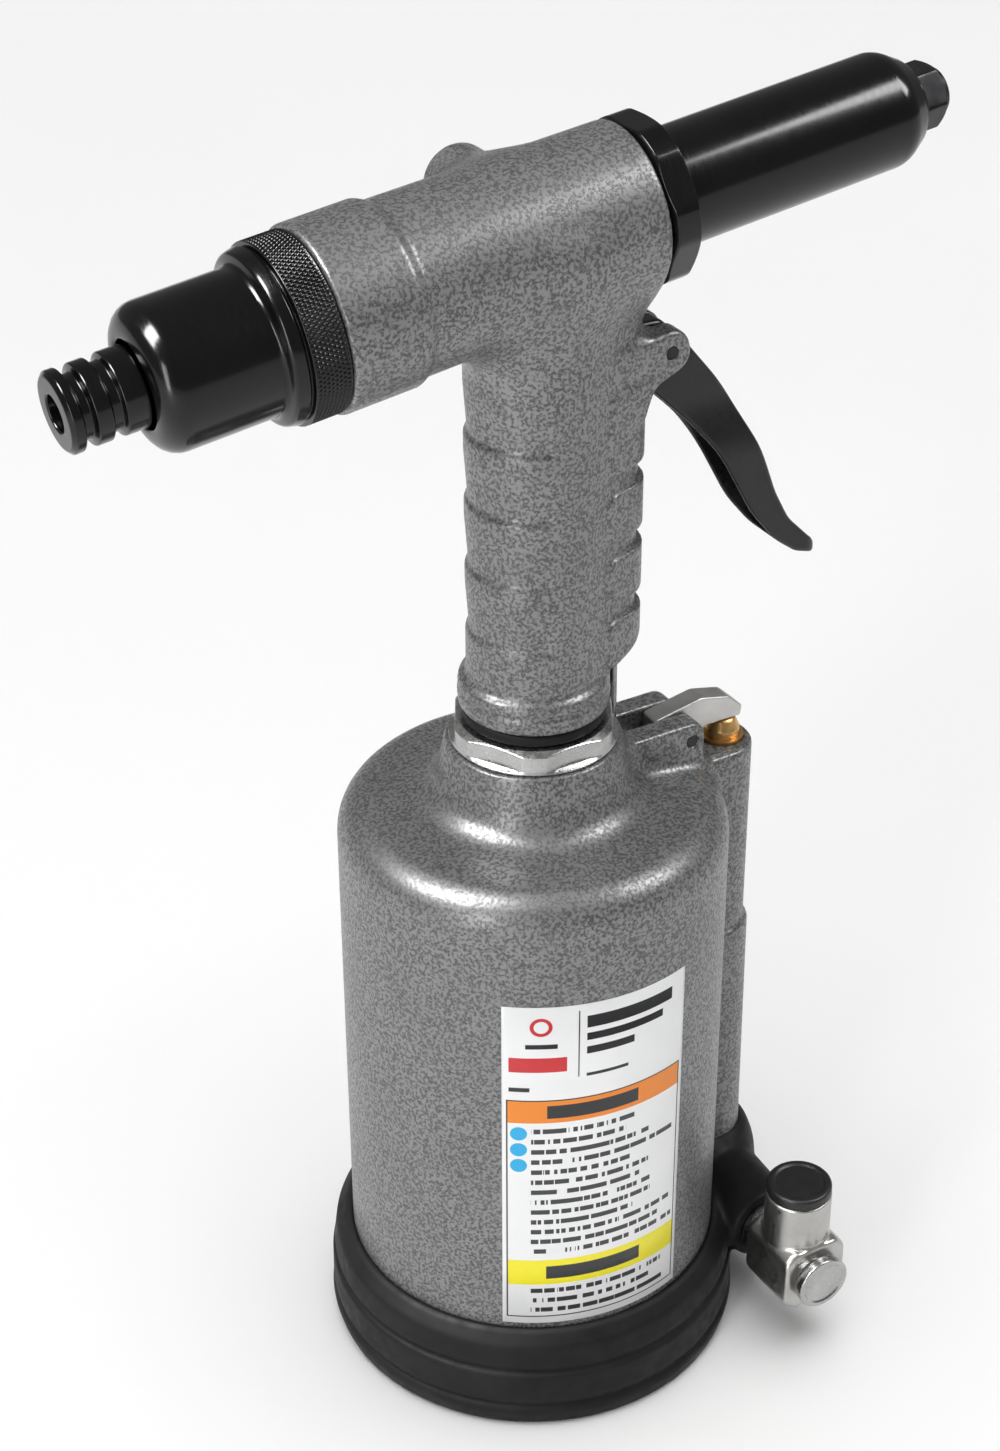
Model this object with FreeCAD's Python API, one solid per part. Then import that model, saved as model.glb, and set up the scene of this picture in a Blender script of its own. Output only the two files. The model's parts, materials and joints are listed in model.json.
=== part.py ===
import FreeCAD, Part
import math
import os

from FreeCAD import Placement, Rotation, Vector

# Pneumatic-hydraulic rivet gun, millimetres.
# Origin: centre of the rubber base on the surface it stands on.  +Z runs up the air cylinder and the
# grip, +X points to the nosepiece side, where the trigger, the valve column and the air inlet are.

# ---- base, air cylinder and valve column -------------------------------------------------------
BASE_RADIUS = 52.0
BASE_HEIGHT = 28.0
BASE_FLOOR = 4.0
CYLINDER_RADIUS = 46.0
CYLINDER_BORE = 43.0
CYLINDER_BOTTOM = 4.0
CYLINDER_SHOULDER = 153.0
CYLINDER_ROOF = 146.0
NECK_RADIUS = 20.5
NECK_TOP = 170.5
NECK_HOLE = 13.1
END_CAP_TOP = 12.0
RETAINER_THICKNESS = 2.0
AIR_PISTON_THICKNESS = 14.0
AIR_PISTON_GAP = 3.0
PISTON_BOTTOM = END_CAP_TOP + AIR_PISTON_GAP
PISTON_TOP = PISTON_BOTTOM + AIR_PISTON_THICKNESS
RAM_RADIUS = 5.5
RAM_TOP = 190.0

COLUMN_X = 50.4
COLUMN_RADIUS = 9.5
COLUMN_FOOT_RADIUS = 10.6
COLUMN_STEP = 101.0
COLUMN_TOP = 153.0
COLUMN_BOTTOM = 10.0
FORK_INNER = 3.2
FORK_OUTER = 9.2
FORK_TOP = 165.2
FORK_BACK = 16.0
FORK_FRONT = 42.0
ROCKER_PIVOT = Vector(38.3, 0, 160.2)
ROCKER_HALF_WIDTH = 2.8
VALVE_X = 53.0
VALVE_RADIUS = 4.25
VALVE_GUIDE = 4.3
VALVE_BORE = 5.4
EXHAUST_HEIGHT = 95.0
LABEL_BEARING = -100.8
LABEL_WIDTH = 46.6
LABEL_BOTTOM = 29.4
LABEL_TOP = 126.0

# ---- swivel air inlet --------------------------------------------------------------------------
INLET_X = 50.4
INLET_Z = 22.0
SLEEVE_TIP = -33.0
SWIVEL_Y = -46.0
SWIVEL_HALF = 9.0
INLET_TUBE_RADIUS = 8.4
INLET_TUBE_TOP = 43.5
INLET_PLUG_TOP = 46.4
INLET_THREAD_RADIUS = 5.9
INLET_THREAD_TOP = 38.0
INLET_THREAD_LENGTH = 9.0
BANJO_RADIUS = 5.0
SWIVEL_SEAL_OFFSETS = (-7.0, 7.0)
SWIVEL_GROOVE = 6.7

# ---- grip and head -----------------------------------------------------------------------------
NUT_TOP = 176.2
GRIP_BOTTOM = 179.5
COLLAR_TOP = 187.0
GRIP_RADIUS = 15.4
RIB_X = 16.5
RIB_RADIUS = 10.0
RIB_BOTTOM = 189.0
FINGER_GROOVES = (234.7, 218.5, 202.6)
OIL_BORE = 6.6
BARREL_HEIGHT = 290.8
RAKE = 7.4
HEAD_RADIUS = 18.4
HEAD_BORE = 14.0
HEAD_FRONT = 22.5
HEAD_REAR = -53.2
HEAD_COLLAR_RADIUS = 20.0
HEAD_COLLAR_FRONT = -36.0
BOSS_S = -3.0
BOSS_LIFT = 5.0
BOSS_RADIUS = 8.2
BOSS_END = 28.0
TRIGGER_PIVOT = Vector(29.3, 0, 261.5)
TRIGGER_PIN_RADIUS = 1.4
TRIGGER_NARROW = 2.85
TRIGGER_WIDE = 6.0
TRIGGER_END = 75.0
SHEET = 1.2
EAR_RADIUS = 5.2
EAR_OUTER = 9.0
ROD_X = 21.5
ROD_RADIUS = 0.9
ROD_BOTTOM = 155.4
ROD_TOP = 267.0

# ---- barrel parts, stations along the raked axis -----------------------------------------------
CAP_REAR = -91.5
CAP_RADIUS = 15.6
KNURL_RADIUS = 19.3
KNURL_REAR = -62.0
SPIGOT_RADIUS = 8.6
SPIGOT_END = -108.5
FRAME_RADIUS = 12.9
FRAME_FRONT = 95.0
FRAME_BORE = 11.2
HEAD_NUT_FRONT = 30.0
NOSE_FRONT = 104.0
NOSE_HOLE = 1.6
PULL_BORE = 2.3
PULL_PISTON_FRONT = -8.0
PULL_PISTON_REAR = -22.0
JAW_CASE_RADIUS = 10.6

FIT = 0.05
LOOSE = 0.3

SIDE = Vector(0, 1, 0)
UP = Vector(0, 0, 1)
ALONG = Vector(1, 0, 0)
BARREL = Placement(Vector(0, 0, BARREL_HEIGHT), Rotation(SIDE, -RAKE))


# ---- geometry helpers --------------------------------------------------------------------------
def outline(points):
    """Closed wire in the XZ plane through (x, z) or (x, z, corner_radius) points."""
    count = len(points)
    places = [Vector(p[0], 0, p[1]) for p in points]
    radii = [p[2] if len(p) > 2 else 0.0 for p in points]
    arcs = []
    for i in range(count):
        here = places[i]
        before = (places[i - 1] - here).normalize()
        after = (places[(i + 1) % count] - here).normalize()
        half_angle = before.getAngle(after) / 2.0
        setback = radii[i] / math.tan(half_angle)
        start = here + before * setback
        end = here + after * setback
        middle = here
        if radii[i] > 0:
            inward = (before + after).normalize()
            middle = here + inward * (radii[i] / math.sin(half_angle) - radii[i])
        arcs.append((start, middle, end, radii[i] > 0))
    edges = []
    for i in range(count):
        start, middle, end, rounded = arcs[i]
        if rounded:
            edges.append(Part.Arc(start, middle, end).toShape())
        next_start = arcs[(i + 1) % count][0]
        if (next_start - end).Length > 1e-6:
            edges.append(Part.LineSegment(end, next_start).toShape())
    return Part.Wire(edges)


def lathe(points, axis):
    """Solid of revolution of an outline about the X or the Z axis."""
    return Part.Face(outline(points)).revolve(Vector(0, 0, 0), axis, 360)


def upright(points):
    """Turned solid on the cylinder axis; points are (radius, height[, corner])."""
    return lathe(points, UP)


def barrel(points):
    """Turned solid on the raked barrel axis; points are (station, radius[, corner])."""
    return on_barrel(lathe(points, ALONG))


def on_barrel(shape):
    """Move a shape from the X axis onto the raked barrel axis."""
    moved = shape.copy()
    moved.Placement = BARREL.multiply(moved.Placement)
    return moved


def rod(radius, start, end):
    """Round bar between two points."""
    return Part.makeCylinder(radius, (end - start).Length, start, end - start)


def plate(points, half_width):
    """Flat plate with an XZ outline, centred on the middle plane."""
    face = Part.Face(outline(points))
    face.translate(Vector(0, -half_width, 0))
    return face.extrude(Vector(0, 2 * half_width, 0))


def hull_section(circles, bottom, top):
    """Upright bar whose section wraps two circles (x, radius) on the middle plane."""
    (x1, r1), (x2, r2) = circles
    slant = math.asin((r1 - r2) / (x2 - x1))
    side_x = math.sin(slant)
    side_y = math.cos(slant)
    near = [Vector(x1 + r1 * side_x, -r1 * side_y, bottom), Vector(x2 + r2 * side_x, -r2 * side_y, bottom)]
    far = [Vector(p.x, -p.y, p.z) for p in near]
    edges = [
        Part.LineSegment(near[0], near[1]).toShape(),
        Part.Arc(near[1], Vector(x2 + r2, 0, bottom), far[1]).toShape(),
        Part.LineSegment(far[1], far[0]).toShape(),
        Part.Arc(far[0], Vector(x1 - r1, 0, bottom), near[0]).toShape(),
    ]
    return Part.Face(Part.Wire(edges)).extrude(Vector(0, 0, top - bottom))


def hexagon(across_flats, start, end):
    """Hexagonal bar along X from start to end."""
    radius = across_flats / math.sqrt(3)
    corners = []
    for i in range(6):
        angle = math.radians(60 * i)
        corners.append(Vector(start, radius * math.cos(angle), radius * math.sin(angle)))
    wire = Part.makePolygon(corners + corners[:1])
    return Part.Face(wire).extrude(Vector(end - start, 0, 0))


def nut_blank(across_flats, corner_radius, start, end, chamfer):
    """Hexagon along X with its corners turned down to a radius and both faces chamfered."""
    envelope = lathe(
        [(start, 0), (start, corner_radius - chamfer), (start + chamfer * 0.6, corner_radius),
         (end - chamfer * 0.6, corner_radius), (end, corner_radius - chamfer), (end, 0)], ALONG)
    return hexagon(across_flats, start, end).common(envelope)


def coil(mean_radius, wire_radius, start, end, turns):
    """Compression spring along X made of one swept wire."""
    pitch = (end - start) / turns
    helix = Part.makeHelix(pitch, end - start, mean_radius)
    section = Part.Wire(Part.Circle(Vector(mean_radius, 0, 0), SIDE, wire_radius).toShape())
    spring = Part.Wire(helix.Edges).makePipeShell([section], True, True)
    spring.Placement = Placement(Vector(start, 0, 0), Rotation(UP, ALONG))
    return spring


def ring(inner, outer, bottom, top):
    """Upright ring."""
    return upright([(inner, bottom), (outer, bottom), (outer, top), (inner, top)])


def barrel_ring(inner, outer, start, end):
    """Ring on the barrel axis."""
    return barrel([(start, inner), (start, outer), (end, outer), (end, inner)])


# ---- base and air cylinder ---------------------------------------------------------------------
def sleeve():
    """Tapered rubber sleeve round the inlet port, along -Y."""
    return Part.makeCone(11.6, 9.6, -SLEEVE_TIP, Vector(INLET_X, 0, INLET_Z), SIDE * -1)


def column_shape(radius, bottom, top):
    """Upright column with a half-round front and a web that merges into the cylinder wall."""
    post = Part.makeCylinder(radius, top - bottom, Vector(COLUMN_X, 0, bottom))
    web = Part.makeBox(COLUMN_X - 40, 2 * radius, top - bottom, Vector(40, -radius, bottom))
    return post.fuse(web)


def base_boot():
    """Ribbed rubber base that grips the cylinder and wraps the foot of the valve column."""
    skin = upright([
        (0, 0), (BASE_RADIUS - 1, 0, 1.5), (BASE_RADIUS, 5.5, 2), (BASE_RADIUS - 1.4, 7.2, 1),
        (BASE_RADIUS - 0.3, 9, 1), (BASE_RADIUS - 0.4, 15.6, 1.5), (BASE_RADIUS - 1.8, 17.4, 1),
        (BASE_RADIUS - 0.8, 19.2, 1), (BASE_RADIUS - 1.6, 25, 2), (BASE_RADIUS - 4.4, BASE_HEIGHT, 1.5),
        (0, BASE_HEIGHT)])
    foot = column_shape(COLUMN_FOOT_RADIUS + 5, 9.0, 34.0)
    foot = foot.common(Part.makeSphere(27, Vector(COLUMN_X - 8, 0, 16)))
    body = skin.fuse([foot, sleeve()])
    body = body.cut(upright([(0, BASE_FLOOR), (CYLINDER_RADIUS, BASE_FLOOR), (CYLINDER_RADIUS, 60), (0, 60)]))
    body = body.cut(column_shape(COLUMN_FOOT_RADIUS, COLUMN_BOTTOM, 60))
    return body.cut(rod(7.0, Vector(INLET_X, -5, INLET_Z), Vector(INLET_X, SLEEVE_TIP - 1, INLET_Z)))


def air_cylinder():
    """Cast air cylinder with its neck, valve column and the fork that carries the rocker."""
    body = upright([
        (0, CYLINDER_BOTTOM), (CYLINDER_RADIUS, CYLINDER_BOTTOM), (CYLINDER_RADIUS, CYLINDER_SHOULDER, 9),
        (NECK_RADIUS + 3, CYLINDER_SHOULDER + 2.2, 11), (NECK_RADIUS, NECK_TOP, 0.8), (0, NECK_TOP)])
    column = column_shape(COLUMN_RADIUS, COLUMN_BOTTOM, COLUMN_TOP)
    column_foot = column_shape(COLUMN_FOOT_RADIUS, COLUMN_BOTTOM, COLUMN_STEP)
    body = body.fuse([column, column_foot, fork()])
    bore = upright([
        (0, CYLINDER_BOTTOM - 1), (CYLINDER_BORE, CYLINDER_BOTTOM - 1), (CYLINDER_BORE, CYLINDER_ROOF, 6),
        (0, CYLINDER_ROOF)])
    neck_hole = rod(NECK_HOLE, Vector(0, 0, 140), Vector(0, 0, 180))
    slot = Part.makeBox(45, 2 * FORK_INNER, 20, Vector(NECK_RADIUS - 2, -FORK_INNER, COLUMN_TOP))
    body = body.cut([bore, neck_hole, slot])
    pin_hole = rod(1.5 + FIT, ROCKER_PIVOT - SIDE * 12, ROCKER_PIVOT + SIDE * 12)
    valve_bore = rod(VALVE_BORE, Vector(VALVE_X, 0, 96), Vector(VALVE_X, 0, COLUMN_TOP + 1))
    air_way = rod(3.0, Vector(VALVE_X, 0, INLET_Z - 3), Vector(VALVE_X, 0, 97))
    inlet_bore = rod(BANJO_RADIUS + FIT, Vector(INLET_X, 3, INLET_Z), Vector(INLET_X, -20, INLET_Z))
    exhaust = rod(3.0, Vector(57.4, 0, EXHAUST_HEIGHT), Vector(70, 0, EXHAUST_HEIGHT))
    feed = rod(2.5, Vector(40, 0, 120), Vector(VALVE_X, 0, 120))
    return body.cut([pin_hole, valve_bore, air_way, inlet_bore, exhaust, feed])


def fork():
    """Two ears on top of the shoulder, either side of the rocker."""
    return plate([(FORK_BACK, COLUMN_TOP - 6), (FORK_FRONT, COLUMN_TOP - 6), (FORK_FRONT, FORK_TOP, 4),
                  (FORK_BACK, FORK_TOP)], FORK_OUTER)


def cylinder_end_cap():
    """Bottom plate that closes the air cylinder, with a seal groove round its rim."""
    rim = CYLINDER_BORE - FIT
    return upright([
        (0, CYLINDER_BOTTOM + RETAINER_THICKNESS), (rim, CYLINDER_BOTTOM + RETAINER_THICKNESS),
        (rim, 7.6), (rim - 2.4, 7.6), (rim - 2.4, 10.4), (rim, 10.4), (rim, END_CAP_TOP),
        (30, END_CAP_TOP), (28, END_CAP_TOP - 2.5), (0, END_CAP_TOP - 2.5)])


def end_cap_seal():
    """O-ring in the end cap's groove."""
    return ring(CYLINDER_BORE - 2.3, CYLINDER_BORE - FIT, 7.7, 10.3)


def retaining_ring():
    """Internal snap ring that holds the end cap in, open by a short gap."""
    top = CYLINDER_BOTTOM + RETAINER_THICKNESS
    whole = ring(CYLINDER_BORE - 3.5, CYLINDER_BORE - FIT, CYLINDER_BOTTOM, top)
    gap = Part.makeBox(8, 12, 6, Vector(-CYLINDER_BORE, -6, CYLINDER_BOTTOM - 2))
    return whole.cut(gap)


# ---- air piston and ram ------------------------------------------------------------------------
def air_piston():
    """Dished aluminium piston with a lip-seal groove."""
    rim = CYLINDER_BORE - LOOSE
    return upright([
        (RAM_RADIUS + FIT, PISTON_BOTTOM + 2), (30, PISTON_BOTTOM + 2, 1), (32, PISTON_BOTTOM, 1),
        (rim, PISTON_BOTTOM), (rim, PISTON_BOTTOM + 4), (rim - 4, PISTON_BOTTOM + 4),
        (rim - 4, PISTON_BOTTOM + 10), (rim, PISTON_BOTTOM + 10), (rim, PISTON_TOP),
        (32, PISTON_TOP, 1), (30, PISTON_TOP - 3, 1), (RAM_RADIUS + FIT, PISTON_TOP - 3)])


def air_piston_seal():
    """Rubber lip seal round the air piston."""
    inner = CYLINDER_BORE - LOOSE - 3.9
    return ring(inner, CYLINDER_BORE - FIT, PISTON_BOTTOM + 4.1, PISTON_BOTTOM + 9.9)


def hydraulic_ram():
    """Hardened ram that presses the oil, clamped in the air piston."""
    return upright([
        (0, PISTON_BOTTOM - 2.5), (RAM_RADIUS, PISTON_BOTTOM - 2.5, 0.5), (RAM_RADIUS, RAM_TOP, 1.5),
        (0, RAM_TOP)])


def piston_nut():
    """Nut that clamps the ram to the piston from above."""
    blank = nut_blank(19, 10.6, PISTON_TOP - 3, PISTON_TOP + 5, 0.8)
    blank.Placement = Placement(Vector(0, 0, 0), Rotation(ALONG, UP))
    return blank.cut(rod(RAM_RADIUS + FIT, Vector(0, 0, PISTON_BOTTOM), Vector(0, 0, PISTON_TOP + 10)))


# ---- grip and head casting ---------------------------------------------------------------------
def grip():
    """Handle: a round palm side, a narrower front rib and grooves across both."""
    bar = hull_section([(0, GRIP_RADIUS), (RIB_X, RIB_RADIUS)], RIB_BOTTOM, BARREL_HEIGHT - HEAD_BORE)
    palm = Part.makeCylinder(GRIP_RADIUS, BARREL_HEIGHT - COLLAR_TOP, Vector(0, 0, COLLAR_TOP))
    collar = upright([
        (0, GRIP_BOTTOM), (17.4, GRIP_BOTTOM, 1), (17.4, COLLAR_TOP, 1.5), (0, COLLAR_TOP + 1.5)])
    thread = Part.makeCylinder(NECK_HOLE - FIT, GRIP_BOTTOM - 160 + 1, Vector(0, 0, 160))
    handle = bar.fuse([palm, collar, thread])
    neck_front = Part.makeBox(12, 40, 10, Vector(RIB_X + RIB_RADIUS - 2.2, -20, 248))
    return handle.cut([finger_groove(z) for z in FINGER_GROOVES] + [neck_front])


def finger_groove(height):
    """Shallow groove across the front of the grip."""
    middle = Vector(RIB_X + RIB_RADIUS + 4.8, 0, height)
    return rod(6.0, middle - SIDE * 20, middle + SIDE * 20)


def trigger_ears():
    """Pair of ears that hold the trigger pin in front of the grip."""
    pivot = TRIGGER_PIVOT
    return plate([
        (8, 266), (pivot.x - 1, 266.7), (pivot.x + EAR_RADIUS, 265.5, 4.5), (pivot.x + 3.6, 255.2, 4.5),
        (20, 248), (8, 248)], EAR_OUTER)


def head():
    """Raked head with its wider rear collar and the bleed boss on the far side."""
    tube = barrel([
        (HEAD_REAR, 0), (HEAD_REAR, HEAD_COLLAR_RADIUS, 0.8), (HEAD_COLLAR_FRONT, HEAD_COLLAR_RADIUS, 1.5),
        (HEAD_COLLAR_FRONT + 2.5, HEAD_RADIUS + 0.4, 1.5), (HEAD_FRONT, HEAD_RADIUS - 0.2, 0.8),
        (HEAD_FRONT, 0)])
    boss = Part.makeCylinder(BOSS_RADIUS, BOSS_END, Vector(BOSS_S, 0, BOSS_LIFT), SIDE)
    return tube.fuse(on_barrel(boss))


def gun_body():
    """One casting: grip, head, trigger ears and boss, with the oil bore and the piston bore."""
    body = head().fuse([grip(), trigger_ears()])
    oil_bore = rod(OIL_BORE, Vector(0, 0, 184), Vector(0, 0, BARREL_HEIGHT))
    gland_bore = rod(10.0, Vector(0, 0, 159), Vector(0, 0, 184))
    piston_bore = barrel([(-46, 0), (-46, HEAD_BORE), (11, HEAD_BORE), (11, 0)])
    rear_thread = barrel([(HEAD_REAR - 1, 0), (HEAD_REAR - 1, 16), (-46, 16), (-46, 0)])
    front_thread = barrel([(11, 0), (11, 13.1), (HEAD_FRONT + 1, 13.1), (HEAD_FRONT + 1, 0)])
    rod_way = rod(ROD_RADIUS + 0.5, Vector(ROD_X, 0, 180), Vector(ROD_X, 0, 270))
    ear_slot = Part.makeBox(30, 2 * FORK_INNER, 24, Vector(17.5, -FORK_INNER, 250))
    arm_slot = Part.makeBox(12, 2 * FORK_INNER, 12, Vector(17.5, -FORK_INNER, 262))
    pin_hole = rod(TRIGGER_PIN_RADIUS + FIT, TRIGGER_PIVOT - SIDE * 12, TRIGGER_PIVOT + SIDE * 12)
    body = body.cut([oil_bore, gland_bore, piston_bore, rear_thread, front_thread])
    nut_seat = barrel([(HEAD_FRONT, 0), (HEAD_FRONT, 20), (HEAD_NUT_FRONT + 2, 20), (HEAD_NUT_FRONT + 2, 0)])
    body = body.cut([rod_way, ear_slot, arm_slot, pin_hole, nut_seat])
    return body.cut([on_barrel(hole) for hole in bleed_holes()])


def bleed_holes():
    """Screw hole and counterbore in the boss, from the piston bore outwards."""
    hole = Part.makeCylinder(3.0, BOSS_END + 1 - 12, Vector(BOSS_S, 12, BOSS_LIFT), SIDE)
    sink = Part.makeCylinder(5.4, 7, Vector(BOSS_S, BOSS_END - 6, BOSS_LIFT), SIDE)
    return [hole, sink]


def bleed_screw():
    """Socket screw that closes the oil filling hole, sunk in the boss."""
    shank = Part.makeCylinder(3.0 - FIT, 6.9, Vector(BOSS_S, BOSS_END - 12, BOSS_LIFT), SIDE)
    screw_head = Part.makeCylinder(4.9, 4.4, Vector(BOSS_S, BOSS_END - 5.1, BOSS_LIFT), SIDE)
    socket = hexagon(4.0, -3.0, 0).copy()
    socket.Placement = Placement(Vector(BOSS_S, BOSS_END, BOSS_LIFT), Rotation(ALONG, SIDE))
    return on_barrel(shank.fuse(screw_head).cut(socket))


def bleed_washer():
    """Sealing washer under the bleed screw."""
    disc = Part.makeCylinder(5.1, 0.8, Vector(BOSS_S, BOSS_END - 5.95, BOSS_LIFT), SIDE)
    hole = Part.makeCylinder(3.0 + FIT, 3, Vector(BOSS_S, BOSS_END - 7, BOSS_LIFT), SIDE)
    return on_barrel(disc.cut(hole))


def ram_gland():
    """Bronze gland that guides the ram at the bottom of the grip."""
    return ring(RAM_RADIUS + FIT, 10.0 - FIT, 164, 184)


def ram_seal():
    """Rod seal under the gland, round the ram."""
    return ring(RAM_RADIUS + FIT, 10.0 - FIT, 160, 163.9)


def lock_nut():
    """Plated hexagon nut with a low round flange, between the cylinder's neck and the grip."""
    blank = nut_blank(36.0, 19.3, NECK_TOP, NUT_TOP, 1.0)
    blank.Placement = Placement(Vector(0, 0, 0), Rotation(ALONG, UP))
    blank.rotate(Vector(0, 0, 0), UP, 30)
    flange = Part.makeCylinder(19.6, 1.1, Vector(0, 0, NECK_TOP))
    return blank.fuse(flange).cut(rod(NECK_HOLE, Vector(0, 0, 160), Vector(0, 0, 190)))


def neck_seal():
    """Black sealing ring above the lock nut."""
    return ring(NECK_HOLE, 16.6, NUT_TOP, GRIP_BOTTOM)


# ---- hydraulic piston and jaws -----------------------------------------------------------------
def head_piston():
    """Pull piston with its hollow front rod and rear tail tube."""
    return barrel([
        (-50, PULL_BORE), (-50, 5.5, 0.5), (PULL_PISTON_REAR, 5.5), (PULL_PISTON_REAR, HEAD_BORE - FIT, 0.5),
        (-17.5, HEAD_BORE - FIT), (-17.5, 11.8), (-12.5, 11.8), (-12.5, HEAD_BORE - FIT),
        (PULL_PISTON_FRONT, HEAD_BORE - FIT, 0.5), (PULL_PISTON_FRONT, 6.5), (53, 6.5, 0.5), (53, PULL_BORE)])


def head_piston_seal():
    """Piston seal in the pull piston's groove."""
    return barrel_ring(11.85, HEAD_BORE - FIT, -17.4, -12.6)


def rod_gland():
    """Seal carrier round the pull rod at the front of the oil chamber."""
    return barrel_ring(6.5 + FIT, HEAD_BORE - FIT, 7.0, 10.95)


def jaw_case():
    """Hollow case screwed on the pull rod, with the cone that closes the jaws."""
    return barrel([
        (44, 6.55), (44, JAW_CASE_RADIUS, 0.6), (83, JAW_CASE_RADIUS, 1.0), (83, 4.6),
        (70, 8.2), (55, 8.2), (55, 6.55)])


def jaws():
    """Three hardened jaw segments inside the cone."""
    whole = lathe([(70.5, NOSE_HOLE + 0.4), (70.5, 7.9), (82, 4.7), (82, NOSE_HOLE + 0.4)], ALONG)
    segments = []
    for i in range(3):
        wedge = Part.makeCylinder(12, 20, Vector(66, 0, 0), ALONG, 116)
        wedge.rotate(Vector(0, 0, 0), ALONG, 120 * i)
        segments.append(whole.common(wedge))
    return on_barrel(Part.makeCompound(segments))


def jaw_pusher():
    """Cone-nosed sleeve that pushes the jaws forwards."""
    return barrel([(64, PULL_BORE), (64, 7.6, 0.4), (68, 7.6), (70.3, 5.0), (70.3, PULL_BORE)])


def jaw_spring():
    """Spring between the pull rod and the jaw pusher."""
    return on_barrel(coil(6.2, 0.8, 56.2, 62.8, 2.5))


def return_spring():
    """Spring round the tail tube that returns the pull piston."""
    return on_barrel(coil(9.0, 1.3, -83.5, PULL_PISTON_REAR - 1.8, 9))


# ---- front end ---------------------------------------------------------------------------------
def frame_head():
    """Long black front tube that screws into the head and holds the nosepiece."""
    return barrel([
        (11.05, 6.55), (11.05, 13.05), (HEAD_NUT_FRONT, 13.05), (HEAD_NUT_FRONT, FRAME_RADIUS),
        (84, FRAME_RADIUS - 0.3, 6), (91.5, 10.4, 2.5), (FRAME_FRONT, 8.6, 1), (FRAME_FRONT, 6.35),
        (86.5, 6.35), (86.5, FRAME_BORE), (26, FRAME_BORE), (26, 6.55)])


def head_lock_nut():
    """Black hexagon nut that locks the front tube in the head."""
    blank = nut_blank(35.2, 18.5, HEAD_FRONT + FIT, HEAD_NUT_FRONT, 1.6)
    return on_barrel(blank.cut(rod(13.1, Vector(HEAD_FRONT - 1, 0, 0), Vector(HEAD_NUT_FRONT + 1, 0, 0))))


def nosepiece():
    """Screwed-in nosepiece with a hexagon and the hole for the rivet's mandrel."""
    shank = lathe([(85.5, 0), (85.5, 4.5), (87, 6.3), (FRAME_FRONT, 6.3), (FRAME_FRONT, 0)], ALONG)
    nose_hex = nut_blank(13.4, 7.5, FRAME_FRONT, 101.5, 0.8)
    tip = lathe([(101.5, 0), (101.5, 5.6), (NOSE_FRONT, 3.6, 0.5), (NOSE_FRONT, 0)], ALONG)
    hole = rod(NOSE_HOLE, Vector(80, 0, 0), Vector(NOSE_FRONT + 1, 0, 0))
    return on_barrel(shank.fuse([nose_hex, tip]).cut(hole))


# ---- rear end ----------------------------------------------------------------------------------
def rear_cap():
    """Gloss black cap with a knurled ring, screwed into the rear of the head."""
    return barrel([
        (CAP_REAR, 7.15), (CAP_REAR, CAP_RADIUS, 5), (-65.2, CAP_RADIUS, 1.2), (-64.8, 18.2, 1.6),
        (KNURL_REAR, 18.6, 0.6), (KNURL_REAR, KNURL_RADIUS, 0.3), (HEAD_REAR, KNURL_RADIUS, 0.3),
        (HEAD_REAR, 15.95), (-46.1, 15.95), (-46.1, 12.5), (-85, 12.5), (-85, 7.15)])


def mandrel_outlet():
    """Grooved spigot where spent mandrels leave, ready for a collector bottle."""
    profile = [
        (-80, 3.2), (-80, 7.1), (-92, 7.1), (-92, SPIGOT_RADIUS), (-97.2, SPIGOT_RADIUS, 0.3),
        (-97.6, 7.3), (-98.9, 7.3), (-99.2, 8.5, 0.4), (-102.6, 8.5, 0.4), (-103, 6.4), (-105.2, 6.4),
        (-105.8, 8.3, 0.5), (SPIGOT_END + 1, 8.2, 0.8), (SPIGOT_END, 5.6, 0.4), (-104.5, 3.4)]
    return barrel(profile)


# ---- trigger, pull rod, rocker and valve -------------------------------------------------------
def trigger_front(inset):
    """Front edge of the trigger lever from the pivot to its tip, moved in by an inset."""
    return [
        (30.2, 266.8 - inset, 3), (36.2 - inset, 261.2, 12), (47.4 - inset, 247.4, 60),
        (56.8 - inset, 230.4, 60), (61.2 - inset, 218.6, 30), (65.4 - inset, 210.6, 15)]


def planform(inset):
    """Front view of the lever: narrow at the pivot, widening to the part that the fingers press."""
    narrow = TRIGGER_NARROW - inset
    wide = TRIGGER_WIDE - inset
    face = Part.Face(outline([
        (-narrow, 272), (-narrow, 246, 8), (-wide, 230, 8), (-wide, 190), (wide, 190), (wide, 230, 8),
        (narrow, 246, 8), (narrow, 272)]))
    face.rotate(Vector(0, 0, 0), UP, 90)
    return face.extrude(Vector(90, 0, 0))


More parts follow.
